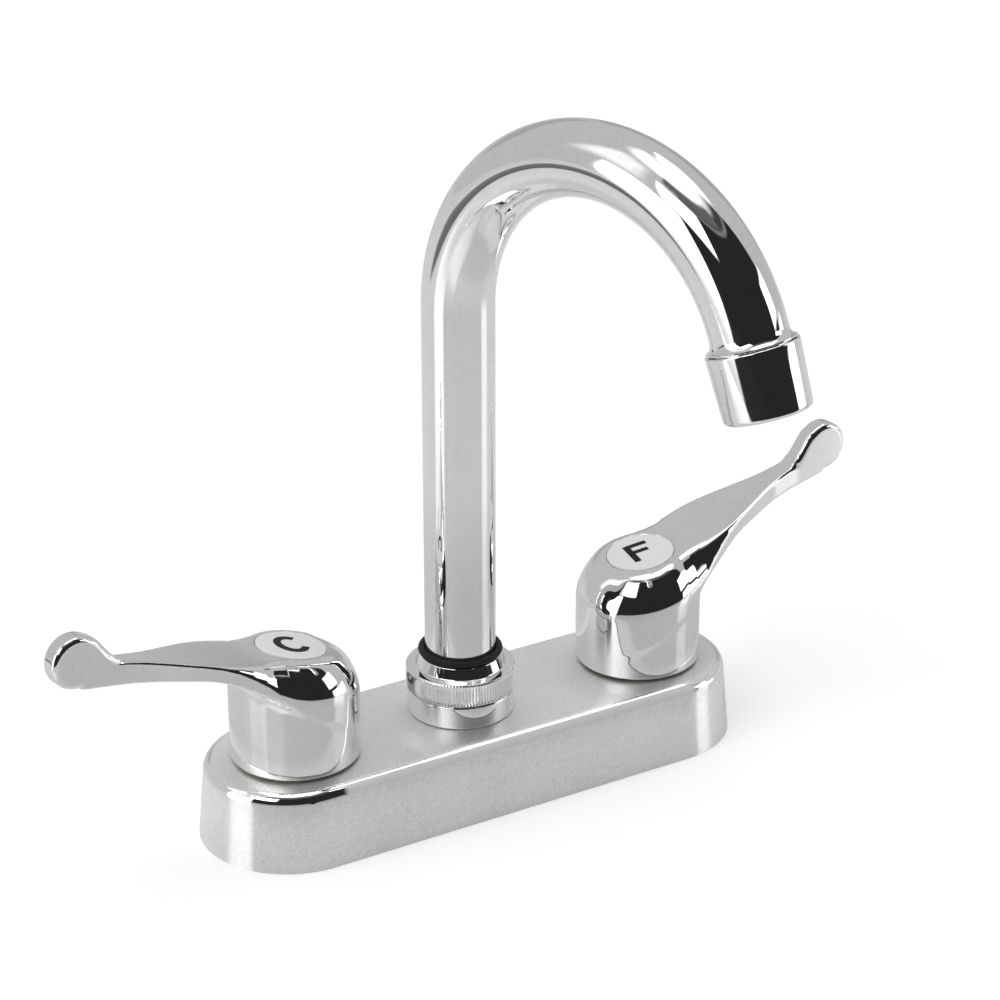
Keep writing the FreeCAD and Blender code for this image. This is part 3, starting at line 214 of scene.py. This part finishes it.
def satin(name, tone):
    """The base: fine matt plating on its flats, left bright round the two ends' upper edge, with a painted
    highlight along the straight upper edge.
    """
    material, tree, shader, place = new_material(name)
    normal = tree.node("ShaderNodeNewGeometry").outputs["Normal"]
    lean = tree.node("ShaderNodeSeparateXYZ", {"Vector": normal}).outputs["Z"]
    along = tree.node("ShaderNodeSeparateXYZ", {"Vector": place}).outputs["X"]
    # The rounded upper edge: polished at the ends; along the straight runs, where it would mirror the dark
    # front, a painted highlight of paler colour and less metal
    edge = tree.math("MULTIPLY", tree.span(lean, 0.098, 0.135), tree.span(lean, 0.9, 0.98, 1.0, 0.0))
    ends = tree.math("MAXIMUM", tree.span(along, -0.0490, -0.0470, 1.0, 0.0),
                     tree.span(along, 0.0530, 0.0590))
    bright = tree.math("MULTIPLY", edge, ends)
    painted_edge_highlight = tree.math("MULTIPLY", tree.math("SUBTRACT", edge, bright),
                     tree.span(lean, 0.76, 0.84, 1.0, 0.0))
    speckle = tree.noise(place, 1500.0, 2.0, 0.6)
    cloud = tree.noise(place, 38.0, 3.0, 0.5)
    blend = tree.math("ADD", tree.math("MULTIPLY", speckle, 0.7), tree.math("MULTIPLY", cloud, 0.3))
    # Painted highlight: the straight upper edge's colour is lifted so it reads as a light line
    blend = tree.math("ADD", blend, tree.math("MULTIPLY", painted_edge_highlight, 0.3))
    tree.put(tree.ramp(blend, shades(0.36, 0.6, scaled(tone, 0.84), tone)), shader.inputs["Base Color"])
    metal = tree.math("MULTIPLY_ADD", bright, 0.06, 0.94)
    # Painted highlight: the straight upper edge loses most of its metal, so it shows its pale colour
    # instead of the dark reflection
    tree.put(tree.math("SUBTRACT", metal, tree.math("MULTIPLY", painted_edge_highlight, 0.9)), shader.inputs["Metallic"])
    matt = tree.math("ADD", tree.span(cloud, 0.3, 0.7, 0.15, 0.19),
                     tree.math("MULTIPLY", tree.span(lean, 0.94, 0.99), 0.34))
    rough = tree.math("MULTIPLY", matt, tree.math("SUBTRACT", 1.0, tree.math("MULTIPLY", bright, 0.86)))
    tree.put(rough, shader.inputs["Roughness"])
    grain = tree.math("MULTIPLY", speckle, tree.math("SUBTRACT", 1.0, bright))
    tree.put(tree.bump(grain, 0.000006), shader.inputs["Normal"])
    return material


def plain(name, tone, spread, rough, scale, grain, metallic=0.0):
    """A moulded, cast or turned surface: tone, gloss and relief vary by fine noise."""
    material, tree, shader, place = new_material(name)
    shader.inputs["Metallic"].default_value = metallic
    broad = tree.noise(place, scale, 4.0)
    fine = tree.noise(place, scale * 9.0, 3.0)
    tones = shades(0.3, 0.7, scaled(tone, 1.0 - spread), scaled(tone, 1.0 + spread))
    tree.put(tree.ramp(broad, tones), shader.inputs["Base Color"])
    tree.put(tree.span(fine, 0.25, 0.75, rough * 0.8, rough * 1.2), shader.inputs["Roughness"])
    tree.put(tree.bump(fine, grain), shader.inputs["Normal"])
    return material


MATERIALS = {
    "chrome": chrome("chrome_plate", (0.86, 0.865, 0.86), 0.035, 0.000004, 0.5),
    "deck": satin("satin_plate", (0.98, 0.98, 0.965)),
    "brass": plain("turned_brass", (0.66, 0.5, 0.24), 0.12, 0.32, 90.0, 0.00001, 1.0),
    "rubber": plain("black_rubber", (0.022, 0.022, 0.023), 0.25, 0.55, 200.0, 0.00002),
    "ceramic": plain("polished_ceramic", (0.82, 0.82, 0.8), 0.04, 0.15, 300.0, 0.000003),
    "index_white": plain("white_enamel", (0.955, 0.955, 0.945), 0.015, 0.14, 120.0, 0.000004),
    "steel": plain("stainless_steel", (0.55, 0.55, 0.54), 0.08, 0.3, 150.0, 0.000008, 1.0),
    "white_plastic": plain("white_acetal", (0.8, 0.8, 0.78), 0.04, 0.42, 160.0, 0.00001),
    "grey_plastic": plain("grey_nylon", (0.32, 0.33, 0.335), 0.08, 0.5, 160.0, 0.00002),
    "letter": plain("black_print", (0.008, 0.008, 0.009), 0.15, 0.5, 400.0, 0.000003),
}
for matt_slot in ("letter", "rubber"):
    MATERIALS[matt_slot].node_tree.nodes["Principled BSDF"].inputs["Specular IOR Level"].default_value = 0.2
SLOTS = {row["node"]: row["material_slot"] for row in frame["record"]["subparts"]}
for name, node in frame["nodes"].items():
    node.data.materials.clear()
    node.data.materials.append(MATERIALS["deck" if name == "base_cover" else SLOTS[name]])


# Mesh helpers, in millimetres
def add_piece(name, points, faces, body, slot, replaced, normals=None, sharp=30.0, second=None):
    """Adds one visible piece; second gives a 1 for each face that is lettering."""
    mesh = bpy.data.meshes.new(name)
    mesh.from_pydata((np.asarray(points) * MM).tolist(), [], [tuple(map(int, face)) for face in faces])
    mesh.update()
    mesh.shade_smooth()
    if normals is not None:
        mesh.normals_split_custom_set(normals.tolist())
    else:
        mesh.set_sharp_from_angle(angle=math.radians(sharp))
    mesh.materials.append(MATERIALS[slot])
    if second is not None:
        mesh.materials.append(MATERIALS["letter"])
        mesh.polygons.foreach_set("material_index", second)
    piece = bpy.data.objects.new(name, mesh)
    bpy.context.scene.collection.objects.link(piece)
    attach(piece, body)
    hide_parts(*replaced)


def rounded(corners):
    """Turns (r, z, radius) corners into a fine closed outline with each corner rounded."""
    step = math.radians(7.5)
    outline = []
    count = len(corners)
    for index in range(count):
        here = np.array(corners[index][:2], float)
        radius = corners[index][2] if len(corners[index]) > 2 else 0.0
        if radius <= 0.0:
            outline.append(here)
            continue
        before = np.array(corners[index - 1][:2], float) - here
        after = np.array(corners[(index + 1) % count][:2], float) - here
        reach_before = np.hypot(*before)
        reach_after = np.hypot(*after)
        before /= reach_before
        after /= reach_after
        half = math.acos(max(-1.0, min(1.0, float(before @ after)))) / 2
        tangent = min(radius / math.tan(half), reach_before * 0.499, reach_after * 0.499)
        radius = tangent * math.tan(half)
        middle = before + after
        middle /= np.hypot(*middle)
        centre = here + middle * radius / math.sin(half)
        start = here + before * tangent - centre
        end = here + after * tangent - centre
        angle = math.atan2(start[0] * end[1] - start[1] * end[0], float(start @ end))
        parts = max(2, int(abs(angle) / step) + 1)
        for part in range(parts + 1):
            turn = angle * part / parts
            outline.append(centre + np.array([start[0] * math.cos(turn) - start[1] * math.sin(turn),
                                              start[0] * math.sin(turn) + start[1] * math.cos(turn)]))
    return np.array(outline)


def lathe(outline, segments=160, ripple=None):
    """Turns a closed (r, z) outline about Z. ripple(r, z, angle) may change the radius."""
    outline = np.asarray(outline)
    angles = np.arange(segments) * 2 * math.pi / segments
    radii = np.repeat(outline[:, 0][None, :], segments, 0)
    levels = np.repeat(outline[:, 1][None, :], segments, 0)
    turns = np.repeat(angles[:, None], len(outline), 1)
    if ripple is not None:
        radii = radii + ripple(radii, levels, turns)
    points = np.stack([radii * np.cos(turns), radii * np.sin(turns), levels], 2).reshape(-1, 3)
    count = len(outline)
    area = np.sum(outline[:, 0] * np.roll(outline[:, 1], -1) - np.roll(outline[:, 0], -1) * outline[:, 1])
    faces = []
    for a in range(segments):
        b = (a + 1) % segments
        for i in range(count):
            j = (i + 1) % count
            face = (a * count + i, a * count + j, b * count + j, b * count + i)
            faces.append(face[::-1] if area > 0 else face)
    return points, faces


def moved(points, matrix):
    """The points after a 4 by 4 matrix."""
    matrix = np.array(matrix)
    return np.asarray(points) @ matrix[:3, :3].T + matrix[:3, 3]


def lever_matrix(side):
    """From a lever's own frame, with its arm along X, to its place on the base."""
    x = -VALVE_X if side == "hot" else VALVE_X
    return Matrix.Translation((x, 0, 0)) @ Matrix.Rotation(math.radians(LEVER_TURN[side]), 4, "Z")


# From the tube's end, with the water running along +Z, to its place in the frame
OUTLET = (Matrix.Translation((SPOUT_X, 0, 0)) @ Matrix.Rotation(SPOUT_TURN, 4, "Z")
          @ Matrix.Translation((BEND_RADIUS * (1 - math.cos(BEND_ANGLE)), 0,
                                BEND_START + BEND_RADIUS * math.sin(BEND_ANGLE)))
          @ Matrix.Rotation(BEND_ANGLE, 4, "Y"))


# Levers: one sculpted casting, given as a distance field and meshed on its creases
def smooth_max(a, b, width):
    """Maximum with a rounding about as wide as given."""
    blend = np.clip(0.5 + 0.5 * (a - b) / width, 0.0, 1.0)
    return b + (a - b) * blend + width * blend * (1.0 - blend)


def smooth_min(a, b, width):
    return -smooth_max(-a, -b, width)


def slope_distance(x, z, x0, z0, degrees):
    """Signed distance above the line through (x0, z0) that climbs at the angle."""
    angle = math.radians(degrees)
    return (z - z0 - (x - x0) * math.tan(angle)) * math.cos(angle)


# Side view: points and slopes (x, z, degrees) of the arm's top, its underside and its root
ARM_TOP = (57.0, 65.3, 16.0)
ARM_UNDER = (45.0, 56.26, 11.5)
ARM_ROOT = (26.0, 52.4, 31.0)
PADDLE_X = 61.3
PADDLE_Z = 66.4
PADDLE_RADIUS = 6.65
# Plan: the cheeks leave the hub at this tangent point, then a waist arc leads to the flat paddle
CHEEK_SLOPE = math.radians(17.63)
TANGENT = (4.94, 15.53)
WAIST_START = 38.35
WAIST_X = 51.98
WAIST_Y = 47.8
WAIST_RADIUS = 45.0
PADDLE_HALF = 2.8
# Convex band round the face: how far it reaches below the face, along the lever
DOME_AT = (-20.0, 6.0, 9.0, 12.9, 15.2, 18.5, 22.1, 26.0, 30.0, 75.0)
DOME_DROP = (8.8, 8.8, 8.4, 6.9, 5.0, 3.2, 1.7, 0.9, 0.65, 0.65)
# The band's centre lies this far in and down, and its drop is this much, as shares of its radius
BAND_IN = 0.974
BAND_DOWN = 0.761
BAND_DROP = 0.536
BACK_RADIUS = 9.0
RIM_RADIUS = 1.7
# Hollows from below and above, as radius and level
CAVITY = (14.0, 39.5)
BOSS = (6.6, 38.0)
STEM_BORE = (3.95, 44.3)
SCREW_HOLE = (2.0, 46.0)
SCREW_HEAD = (3.8, 45.3)
RECESS_RADIUS = 8.95
# Box that holds a lever in its own frame, and the mesh's cell
LEVER_LOW = (-17.1, -17.1, 21.3)
LEVER_HIGH = (69.0, 17.1, 74.0)
LEVER_CELL = 0.45


def ease(value, low, high):
    """Smooth step from 0 at low to 1 at high."""
    share = np.clip((value - low) / (high - low), 0.0, 1.0)
    return share * share * (3.0 - 2.0 * share)


def lever_field(p):
    """Signed distance, in millimetres, to the lever's surface in its own frame."""
    x = p[..., 0]
    y = np.abs(p[..., 1])
    z = p[..., 2]
    radius = np.hypot(x, y)
    hub = radius - HUB_RADIUS
    # Plan: the hub's circle, straight cheeks, a waist and the paddle's flat cheeks
    straight = (y - TANGENT[1] + (x - TANGENT[0]) * math.tan(CHEEK_SLOPE)) * math.cos(CHEEK_SLOPE)
    waist = WAIST_RADIUS - np.hypot(x - WAIST_X, y - WAIST_Y)
    cheek = np.where(x < WAIST_START, straight, np.where(x < WAIST_X, waist, y - PADDLE_HALF))
    plan = np.where(y * TANGENT[0] > x * TANGENT[1], hub, cheek)
    # Side view: tilted face, rising arm and round paddle above, arched underside below
    face = slope_distance(x, z, 0.0, HUB_TOP, FACE_SLOPE)
    arm = slope_distance(x, z, *ARM_TOP)
    coin = np.hypot(x - PADDLE_X, z - PADDLE_Z) - PADDLE_RADIUS
    hollow = np.clip((z - 60.0) / 4.0, 0.0, 1.0) * np.clip((61.5 - x) / 5.0, 0.0, 1.0)
    above = smooth_min(np.maximum(smooth_min(face, arm, 0.35), x - PADDLE_X), coin, 0.4 + 8.5 * hollow)
    below = -slope_distance(x, z, *ARM_UNDER)
    root = -slope_distance(x, z, *ARM_ROOT)
    below = smooth_min(smooth_min(below, root, 1.6), hub, 3.2)
    # Convex band between wall and face, creased along both sides; plain rounding at the back
    back = ease(np.degrees(np.arctan2(y, x)), 140.0, 174.0)
    rim = ease(x, 47.0, 55.0)
    band = np.interp(x, DOME_AT, DOME_DROP) / BAND_DROP
    dome = band + (BACK_RADIUS - band) * back
    dome = dome + (RIM_RADIUS - dome) * rim
    soft = np.maximum(back, rim)
    inward = dome * (BAND_IN + (1.0 - BAND_IN) * soft)
    down = dome * (BAND_DOWN + (1.0 - BAND_DOWN) * soft)
    side = np.maximum(plan + inward, 0.0)
    up = np.maximum(above + down, 0.0)
    body = smooth_max(above, np.hypot(side, up) - dome, 0.25 + 0.07 * dome * (1.0 - rim))
    body = smooth_max(body, plan, 0.35)
    body = smooth_max(body, below, 0.6)
    body = smooth_max(body, HUB_BOTTOM - z, 0.5)
    # What is cut out: hub cavity round the stem's boss, bores and the disc's recess
    boss = np.maximum(radius - BOSS[0], BOSS[1] - z)
    cavity = np.maximum(np.maximum(radius - CAVITY[0], z - CAVITY[1]), -boss)
    bore = np.maximum(radius - STEM_BORE[0], z - STEM_BORE[1])
    screw = np.maximum(radius - SCREW_HOLE[0], z - SCREW_HOLE[1])
    head = np.maximum(radius - SCREW_HEAD[0], SCREW_HEAD[1] - z)
    along = (x - DISC_OFFSET) / math.cos(FACE_TILT) + face * math.tan(FACE_TILT)
    recess = np.maximum(np.hypot(along, y) - RECESS_RADIUS, -DISC_THICKNESS - face)
    body = np.maximum(body, -cavity)
    body = np.maximum(body, -np.minimum(np.minimum(bore, screw), head))
    return smooth_max(body, -recess, 0.25)


def gradient(field, points):
    """Unit normals of the field by central differences."""
    step = 0.03
    result = np.empty(points.shape)
    for axis in range(3):
        shift = np.zeros(3)
        shift[axis] = step
        result[..., axis] = field(points + shift) - field(points - shift)
    return result / np.maximum(np.linalg.norm(result, axis=-1, keepdims=True), 1e-9)


def contour(field, low, high, cell):
    """Dual contouring: quads whose corners sit on the field's surface and on its creases."""
    shape = [int(math.ceil((high[k] - low[k]) / cell)) + 1 for k in range(3)]
    axes = [low[k] + cell * np.arange(shape[k]) for k in range(3)]
    grid = np.stack(np.meshgrid(*axes, indexing="ij"), 3)
    values = field(grid)
    inside = values < 0.0
    cells = tuple(size - 1 for size in shape)
    matrix = np.zeros((*cells, 3, 3))
    vector = np.zeros((*cells, 3))
    total = np.zeros((*cells, 3))
    hits = np.zeros(cells)
    quads = []
    for axis in range(3):
        first = [slice(None)] * 3
        second = [slice(None)] * 3
        first[axis] = slice(0, -1)
        second[axis] = slice(1, None)
        crossing = inside[tuple(first)] != inside[tuple(second)]
        index = np.argwhere(crossing)
        start = grid[tuple(index.T)]
        a = values[tuple(index.T)]
        other = index.copy()
        other[:, axis] += 1
        b = values[tuple(other.T)]
        near = np.zeros(len(a))
        far = np.ones(len(a))
        sign = np.sign(a)
        where = a / (a - b)
        for _ in range(4):
            probe = start.copy()
            probe[:, axis] += where * cell
            value = field(probe)
            same = np.sign(value) == sign
            near = np.where(same, where, near)
            far = np.where(same, far, where)
            where = (near + far) / 2
        crossing_point = start.copy()
        crossing_point[:, axis] += where * cell
        normal = gradient(field, crossing_point)
        outer = normal[:, :, None] * normal[:, None, :]
        reach = np.sum(normal * crossing_point, 1)
        u, v = [k for k in range(3) if k != axis]
        corners = []
        for du, dv in ((-1, -1), (0, -1), (0, 0), (-1, 0)):
            cell_index = index.copy()
            cell_index[:, u] += du
            cell_index[:, v] += dv
            key = tuple(cell_index.T)
            np.add.at(matrix, key, outer)
            np.add.at(vector, key, normal * reach[:, None])
            np.add.at(total, key, crossing_point)
            np.add.at(hits, key, 1.0)
            corners.append(np.ravel_multi_index(key, cells))
        corners = np.stack(corners, 1)
        flip = (a > 0) != (axis == 1)
        corners[flip] = corners[flip][:, ::-1]
        quads.append(corners)
    quads = np.concatenate(quads)
    used, inverse = np.unique(quads, return_inverse=True)
    quads = inverse.reshape(quads.shape)
    key = np.unravel_index(used, cells)
    middle = total[key] / hits[key][:, None]
    pull = 0.02 * np.eye(3)
    system = matrix[key] + pull
    right = vector[key] - np.einsum("nij,nj->ni", matrix[key], middle)
    offset = np.linalg.solve(system, right[:, :, None])[:, :, 0]
    points = middle + np.clip(offset, -cell, cell)
    return points, quads


def face_normals(field, points, quads):
    """Corner normals from the field: one per point, but each face's own along a crease."""
    smooth = gradient(field, points)
    corners = points[quads]
    centre = corners.mean(1, keepdims=True)
    inset = gradient(field, corners * 0.6 + centre * 0.4)
    agree = np.sum(inset * smooth[quads], 2) > math.cos(math.radians(24.0))
    return np.where(agree[:, :, None], smooth[quads], inset).reshape(-1, 3)


def make_levers():
    cell = LEVER_CELL
    points, quads = contour(lever_field, LEVER_LOW, LEVER_HIGH, cell)
    normals = face_normals(lever_field, points, quads)
    for side in ("hot", "cold"):
        matrix = lever_matrix(side)
        turned = normals @ np.array(matrix)[:3, :3].T
        add_piece(side + "_lever_casting", moved(points, matrix), quads, side + "_handle", "chrome",
                  [side + "_lever"], normals=turned)


# Index discs: enamelled discs with a raised black letter
def crown_height(radius):
    """Height of the disc's domed top over the lever's face."""
    edge = np.maximum(radius - (DISC_RADIUS - DISC_EDGE), 0.0)
    return 0.16 + 0.17 * (1.0 - (radius / DISC_RADIUS) ** 2) - edge ** 2 * 0.9


def strip(path, width):
    """A raised flat stroke of a letter along a plan path, as points and faces of a closed band."""
    path = np.asarray(path, float)
    along = np.gradient(path, axis=0)
    along /= np.hypot(along[:, 0], along[:, 1])[:, None]
    across = np.stack([-along[:, 1], along[:, 0]], 1) * width / 2
    count = len(path)
    rows = []
    for offset, level in ((across, LETTER_FOOT), (across, LETTER_TOP), (-across, LETTER_TOP),
                          (-across, LETTER_FOOT)):
        plan = path + offset
        rows.append(np.column_stack([plan, crown_height(np.hypot(plan[:, 0], plan[:, 1])) + level]))
    points = np.concatenate(rows)
    faces = []
    for i in range(count - 1):
        for row in range(4):
            after = (row + 1) % 4
            faces.append((row * count + i, row * count + i + 1, after * count + i + 1, after * count + i))
    faces.append(tuple(row * count for row in range(4)))
    faces.append(tuple(row * count + count - 1 for row in reversed(range(4))))
    return points, faces


def letter_paths(side):
    """Plan paths and stroke widths of C on the hot disc and of F on the cold one."""
    if side == "hot":
        angles = np.radians(np.linspace(40.0, 322.0, 53))
        return [(np.column_stack([3.15 * np.cos(angles) + 0.1, 4.15 * np.sin(angles)]), 1.9)]
    stem = np.column_stack([np.full(9, -2.4), np.linspace(-4.3, 4.3, 9)])
    top = np.column_stack([np.linspace(-2.4, 3.2, 9), np.full(9, 3.62)])
    bar = np.column_stack([np.linspace(-2.4, 2.4, 9), np.full(9, 0.3)])
    return [(stem, 1.75), (top, 1.6), (bar, 1.5)]


def make_discs():
    tilt = (Matrix.Translation((DISC_OFFSET, 0, HUB_TOP + DISC_OFFSET * math.tan(FACE_TILT)))
            @ Matrix.Rotation(-FACE_TILT, 4, "Y"))
    for side in ("hot", "cold"):
        radii = np.linspace(0.02, DISC_RADIUS, 45)
        top = np.column_stack([radii, crown_height(radii)])
        outline = np.concatenate([top, [[DISC_RADIUS, DISC_EDGE - DISC_THICKNESS],
                                        [DISC_RADIUS - DISC_EDGE, -DISC_THICKNESS],
                                        [0.02, -DISC_THICKNESS]]])
        points, faces = lathe(outline, 120)
        second = [0] * len(faces)
        # The letter reads from the front: turned back by the lever's own turn
        turn = math.radians({"hot": 8.0, "cold": -9.0}[side] - LEVER_TURN[side])
        spin = np.array([[math.cos(turn), -math.sin(turn)], [math.sin(turn), math.cos(turn)]])
        for path, width in letter_paths(side):
            more, more_faces = strip(path @ spin.T, width)
            faces += [tuple(index + len(points) for index in face) for face in more_faces]
            second += [1] * len(more_faces)
            points = np.concatenate([points, more])
        add_piece(side + "_disc_enamel", moved(points, lever_matrix(side) @ tilt), faces,
                  side + "_handle", "index_white", [side + "_index_disc"], second=second)


# Spout
def make_tube():
    """The gooseneck: rings up the riser and over the bend outside, and back inside."""
    segments = 144
    riser = [0.0, 0.4, 3.0] + [12.0 * step for step in range(1, 8)] + [BEND_START - TUBE_BOTTOM]
    rings = [(0.0, TUBE_BOTTOM + length, 0.0) for length in riser]
    steps = 120
    for step in range(1, steps + 1):
        over = BEND_ANGLE * step / steps
        rings.append((BEND_RADIUS * (1 - math.cos(over)), BEND_START + BEND_RADIUS * math.sin(over), over))
    angles = np.arange(segments) * 2 * math.pi / segments
    points = []
    for radius, order in ((TUBE_RADIUS, rings), (TUBE_BORE, rings[::-1])):
        for s, z, over in order:
            u = radius * np.cos(angles)
            points.append(np.column_stack([s + u * math.cos(over), radius * np.sin(angles),
                                           z - u * math.sin(over)]))
    count = len(points)
    faces = []
    for ring in range(count):
        after = (ring + 1) % count
        for a in range(segments):
            b = (a + 1) % segments
            faces.append((ring * segments + a, ring * segments + b,
                          after * segments + b, after * segments + a))
    upright = Matrix.Translation((SPOUT_X, 0, 0)) @ Matrix.Rotation(SPOUT_TURN, 4, "Z")
    add_piece("gooseneck_tube", moved(np.concatenate(points), upright), faces, "spout", "chrome",
              ["spout_tube"])


def make_nut():
    outline = rounded([
        (11.05, 22.7, 0.2), (12.65, 22.7, 0.2), (12.65, BAND_BOTTOM, 0.2), (13.55, BAND_BOTTOM, 0.15),
        (13.98, BAND_BOTTOM + 0.4, 0.2), (13.98, BAND_TOP - 0.4, 0.2), (13.5, BAND_TOP, 0.2),
        (11.35, BAND_TOP, 0.5), (10.22, NUT_TOP, 0.35), (9.35, NUT_TOP, 0.25), (9.35, 31.3, 0.0),
        (11.6, 31.3, 0.0), (11.6, 29.2, 0.0), (11.05, 29.2, 0.0),
    ])
    fine = []
    for index in range(len(outline)):
        here = outline[index]
        after = outline[(index + 1) % len(outline)]
        parts = 6 if min(here[0], after[0]) > 13.9 and abs(here[1] - after[1]) > 2.0 else 1
        fine += [here + (after - here) * part / parts for part in range(parts)]

    def knurl(radius, level, angle):
        reach = np.clip((level - BAND_BOTTOM - 0.25) / 0.35, 0, 1)
        reach = reach * np.clip((BAND_TOP - 0.25 - level) / 0.35, 0, 1) * (radius > 13.4)
        wave = 0.5 - 0.5 * np.cos(angle * NUT_RIBS)
        return -0.32 * reach * wave ** 0.8

    points, faces = lathe(fine, NUT_RIBS * 6, knurl)
    points = points + np.array([SPOUT_X, 0, 0])
    add_piece("knurled_nut", points, faces, "base", "chrome", ["spout_nut"], sharp=40.0)


def make_post():
    outline = rounded([
        (8.0, POST_BOTTOM), (9.9, POST_BOTTOM), (9.9, DECK_TOP), (13.65, DECK_TOP, 0.7),
        (13.65, POST_FLANGE_TOP, 0.35), (12.75, POST_FLANGE_TOP), (12.75, 22.5), (11.0, 22.5),
        (11.0, POST_TOP), (8.0, POST_TOP),
    ])
    points, faces = lathe(outline)
    points = points + np.array([SPOUT_X, 0, 0])
    add_piece("post_flange", points, faces, "base", SLOTS["spout_post"], ["spout_post"])


def make_outlet():
    """The outlet sleeve with its small cove, and the aerator housing round it."""
    cove = []
    for step in range(1, 9):
        angle = math.radians(90.0 * step / 8)
        cove.append((9.05 + 1.35 * (1 - math.cos(angle)), 2.25 * math.sin(angle)))
    outline = [(6.5, -3.0, 0.2), (7.7, -3.0, 0.2), (7.7, 0.0, 0.0), (9.05, 0.0, 0.0)]
    outline += [(radius, level, 0.0) for radius, level in cove]
    outline += [(10.4, 2.6, 0.15), (9.2, 2.6, 0.0), (9.2, 9.0, 0.3), (6.5, 9.0, 0.2)]
    points, faces = lathe(rounded(outline), 144)
    add_piece("outlet_sleeve_collar", moved(points, OUTLET), faces, "spout", "chrome", ["outlet_sleeve"],
              sharp=50.0)
    outline = rounded([
        (9.25, 2.8, 0.0), (10.83, 2.8, 0.35), (10.24, 18.6, 1.1), (8.2, 18.6, 0.35), (8.2, 16.6, 0.0),
        (9.25, 16.6, 0.0),
    ])
    points, faces = lathe(outline)
    add_piece("aerator_shell", moved(points, OUTLET), faces, "spout", "chrome", ["aerator_housing"])


make_levers()
make_discs()
make_tube()
make_post()
make_nut()
make_outlet()


# Studio: a grey room of soft panels, seen only in reflections; white behind the object
def make_world():
    world = bpy.data.worlds.new("studio")
    world.use_nodes = True
    bpy.context.scene.world = world
    tree = Tree(world.node_tree)
    background = world.node_tree.nodes["Background"]
    axis = tree.node("ShaderNodeSeparateXYZ",
                     {"Vector": tree.node("ShaderNodeTexCoord").outputs["Generated"]})
    x, y, z = axis.outputs
    azimuth = tree.room_azimuth(x, y)
    elevation = tree.math("MULTIPLY", tree.math("ARCSINE", z), 180 / math.pi)
    # Each panel: azimuth from and to, elevation from and to, soft edge, light level
    panels = [
        (-181, 181, 66, 95, 12, 1.9),
        (-181, -142, 3, 24, 6, 0.42),
        (144, 181, -8, 24, 5, 0.42),
        (-48, 97, -8, 58, 4, 0.022),
        (-36, 97, 54, 68, 5, 0.06),
        (-52, 50, 56, 74, 6, 0.14),
        (-104, -58, 26, 70, 14, 1.15),
        (-80, -45, -9, 29, 3, 3.2),
        (-56, -14, 29, 56, 4, 3.2),
        (76, 101, 9, 29, 3, 2.6),
        (80, 112, -4, 7, 2.5, 2.6),
        (100, 168, 57, 72, 4, 2.1),
    ]
    level = 0.56
    for az0, az1, el0, el1, soft, tone in panels:
        mask = tree.math("MULTIPLY", tree.window(azimuth, az0, az1, soft),
                         tree.window(elevation, el0, el1, soft))
        mix = tree.node("ShaderNodeMix", data_type="FLOAT")
        tree.put(mask, mix.inputs[0])
        tree.put(level, mix.inputs[2])
        tree.put(tone, mix.inputs[3])
        level = mix.outputs[0]
    camera_ray = tree.node("ShaderNodeLightPath").outputs["Is Camera Ray"]
    tree.put(tree.math("MAXIMUM", level, camera_ray), background.inputs["Strength"])
    background.inputs["Color"].default_value = (1.0, 1.0, 1.0, 1.0)


def make_floor():
    mesh = bpy.data.meshes.new("floor")
    mesh.from_pydata([(-3, -3, 0), (3, -3, 0), (3, 3, 0), (-3, 3, 0)], [], [(0, 1, 2, 3)])
    floor = bpy.data.objects.new("floor", mesh)
    bpy.context.scene.collection.objects.link(floor)
    material, tree, shader, place = new_material("pale_floor")
    shader.inputs["Roughness"].default_value = 0.16
    shader.inputs["Emission Color"].default_value = (1.0, 1.0, 1.0, 1.0)
    camera_ray = tree.node("ShaderNodeLightPath").outputs["Is Camera Ray"]
    x, y, _ = tree.node("ShaderNodeSeparateXYZ", {"Vector": place}).outputs
    reach = tree.node("ShaderNodeVectorMath", {0: place}, operation="LENGTH").outputs["Value"]
    turn = tree.room_azimuth(x, y)
    # Painted shade: beyond the table's edge the floor's colour turns dark in front and, as a narrow gap, at
    # the left, standing in for the unlit room; only reflections see it, camera rays keep the full tone
    dark = tree.math("MULTIPLY", tree.window(turn, -108, 112, 8), tree.span(reach, 0.41, 0.46))
    past = tree.math("MULTIPLY", tree.span(reach, 0.75, 0.95), tree.span(turn, -58, -54, 1.0, 0.0))
    dark = tree.math("MULTIPLY", dark, tree.math("SUBTRACT", 1.0, past))
    table = tree.math("SUBTRACT", 1.0, tree.math("MULTIPLY", dark, 0.97))
    table = tree.math("MAXIMUM", table, camera_ray)
    tone = tree.node("ShaderNodeMix", data_type="RGBA")
    tree.put(table, tone.inputs[0])
    tone.inputs[6].default_value = (0.0, 0.0, 0.0, 1.0)
    # Painted light and shade in the floor's colour: palest near the base, lifting the shade the base casts
    # round itself, darker in a ring further out as a painted soft shadow, and palest again far out; the
    # camera itself sees one middle tone
    beside = tree.math("MAXIMUM", tree.math("SUBTRACT", tree.math("ABSOLUTE", x), VALVE_X * MM), 0.0)
    off = tree.math("SQRT", tree.math("ADD", tree.math("POWER", beside, 2.0), tree.math("POWER", y, 2.0)))
    painted_floor_shade = tree.math("MAXIMUM", tree.span(off, 0.056, 0.066, 1.0, 0.0), tree.span(reach, 0.12, 0.2))
    painted_floor_shade = tree.math("MULTIPLY_ADD", tree.math("SUBTRACT", 0.55, painted_floor_shade), camera_ray, painted_floor_shade)
    tree.put(tree.ramp(painted_floor_shade, [(0.0, (0.82, 0.82, 0.82)), (1.0, (0.98, 0.98, 0.98))]), tone.inputs[7])
    tree.put(tone.outputs[2], shader.inputs["Base Color"])
    tree.put(tree.math("SUBTRACT", 1.0, camera_ray), shader.inputs["Specular IOR Level"])
    tree.put(tree.math("MULTIPLY", camera_ray, 0.36), shader.inputs["Emission Strength"])
    mesh.materials.append(material)


make_world()
make_floor()
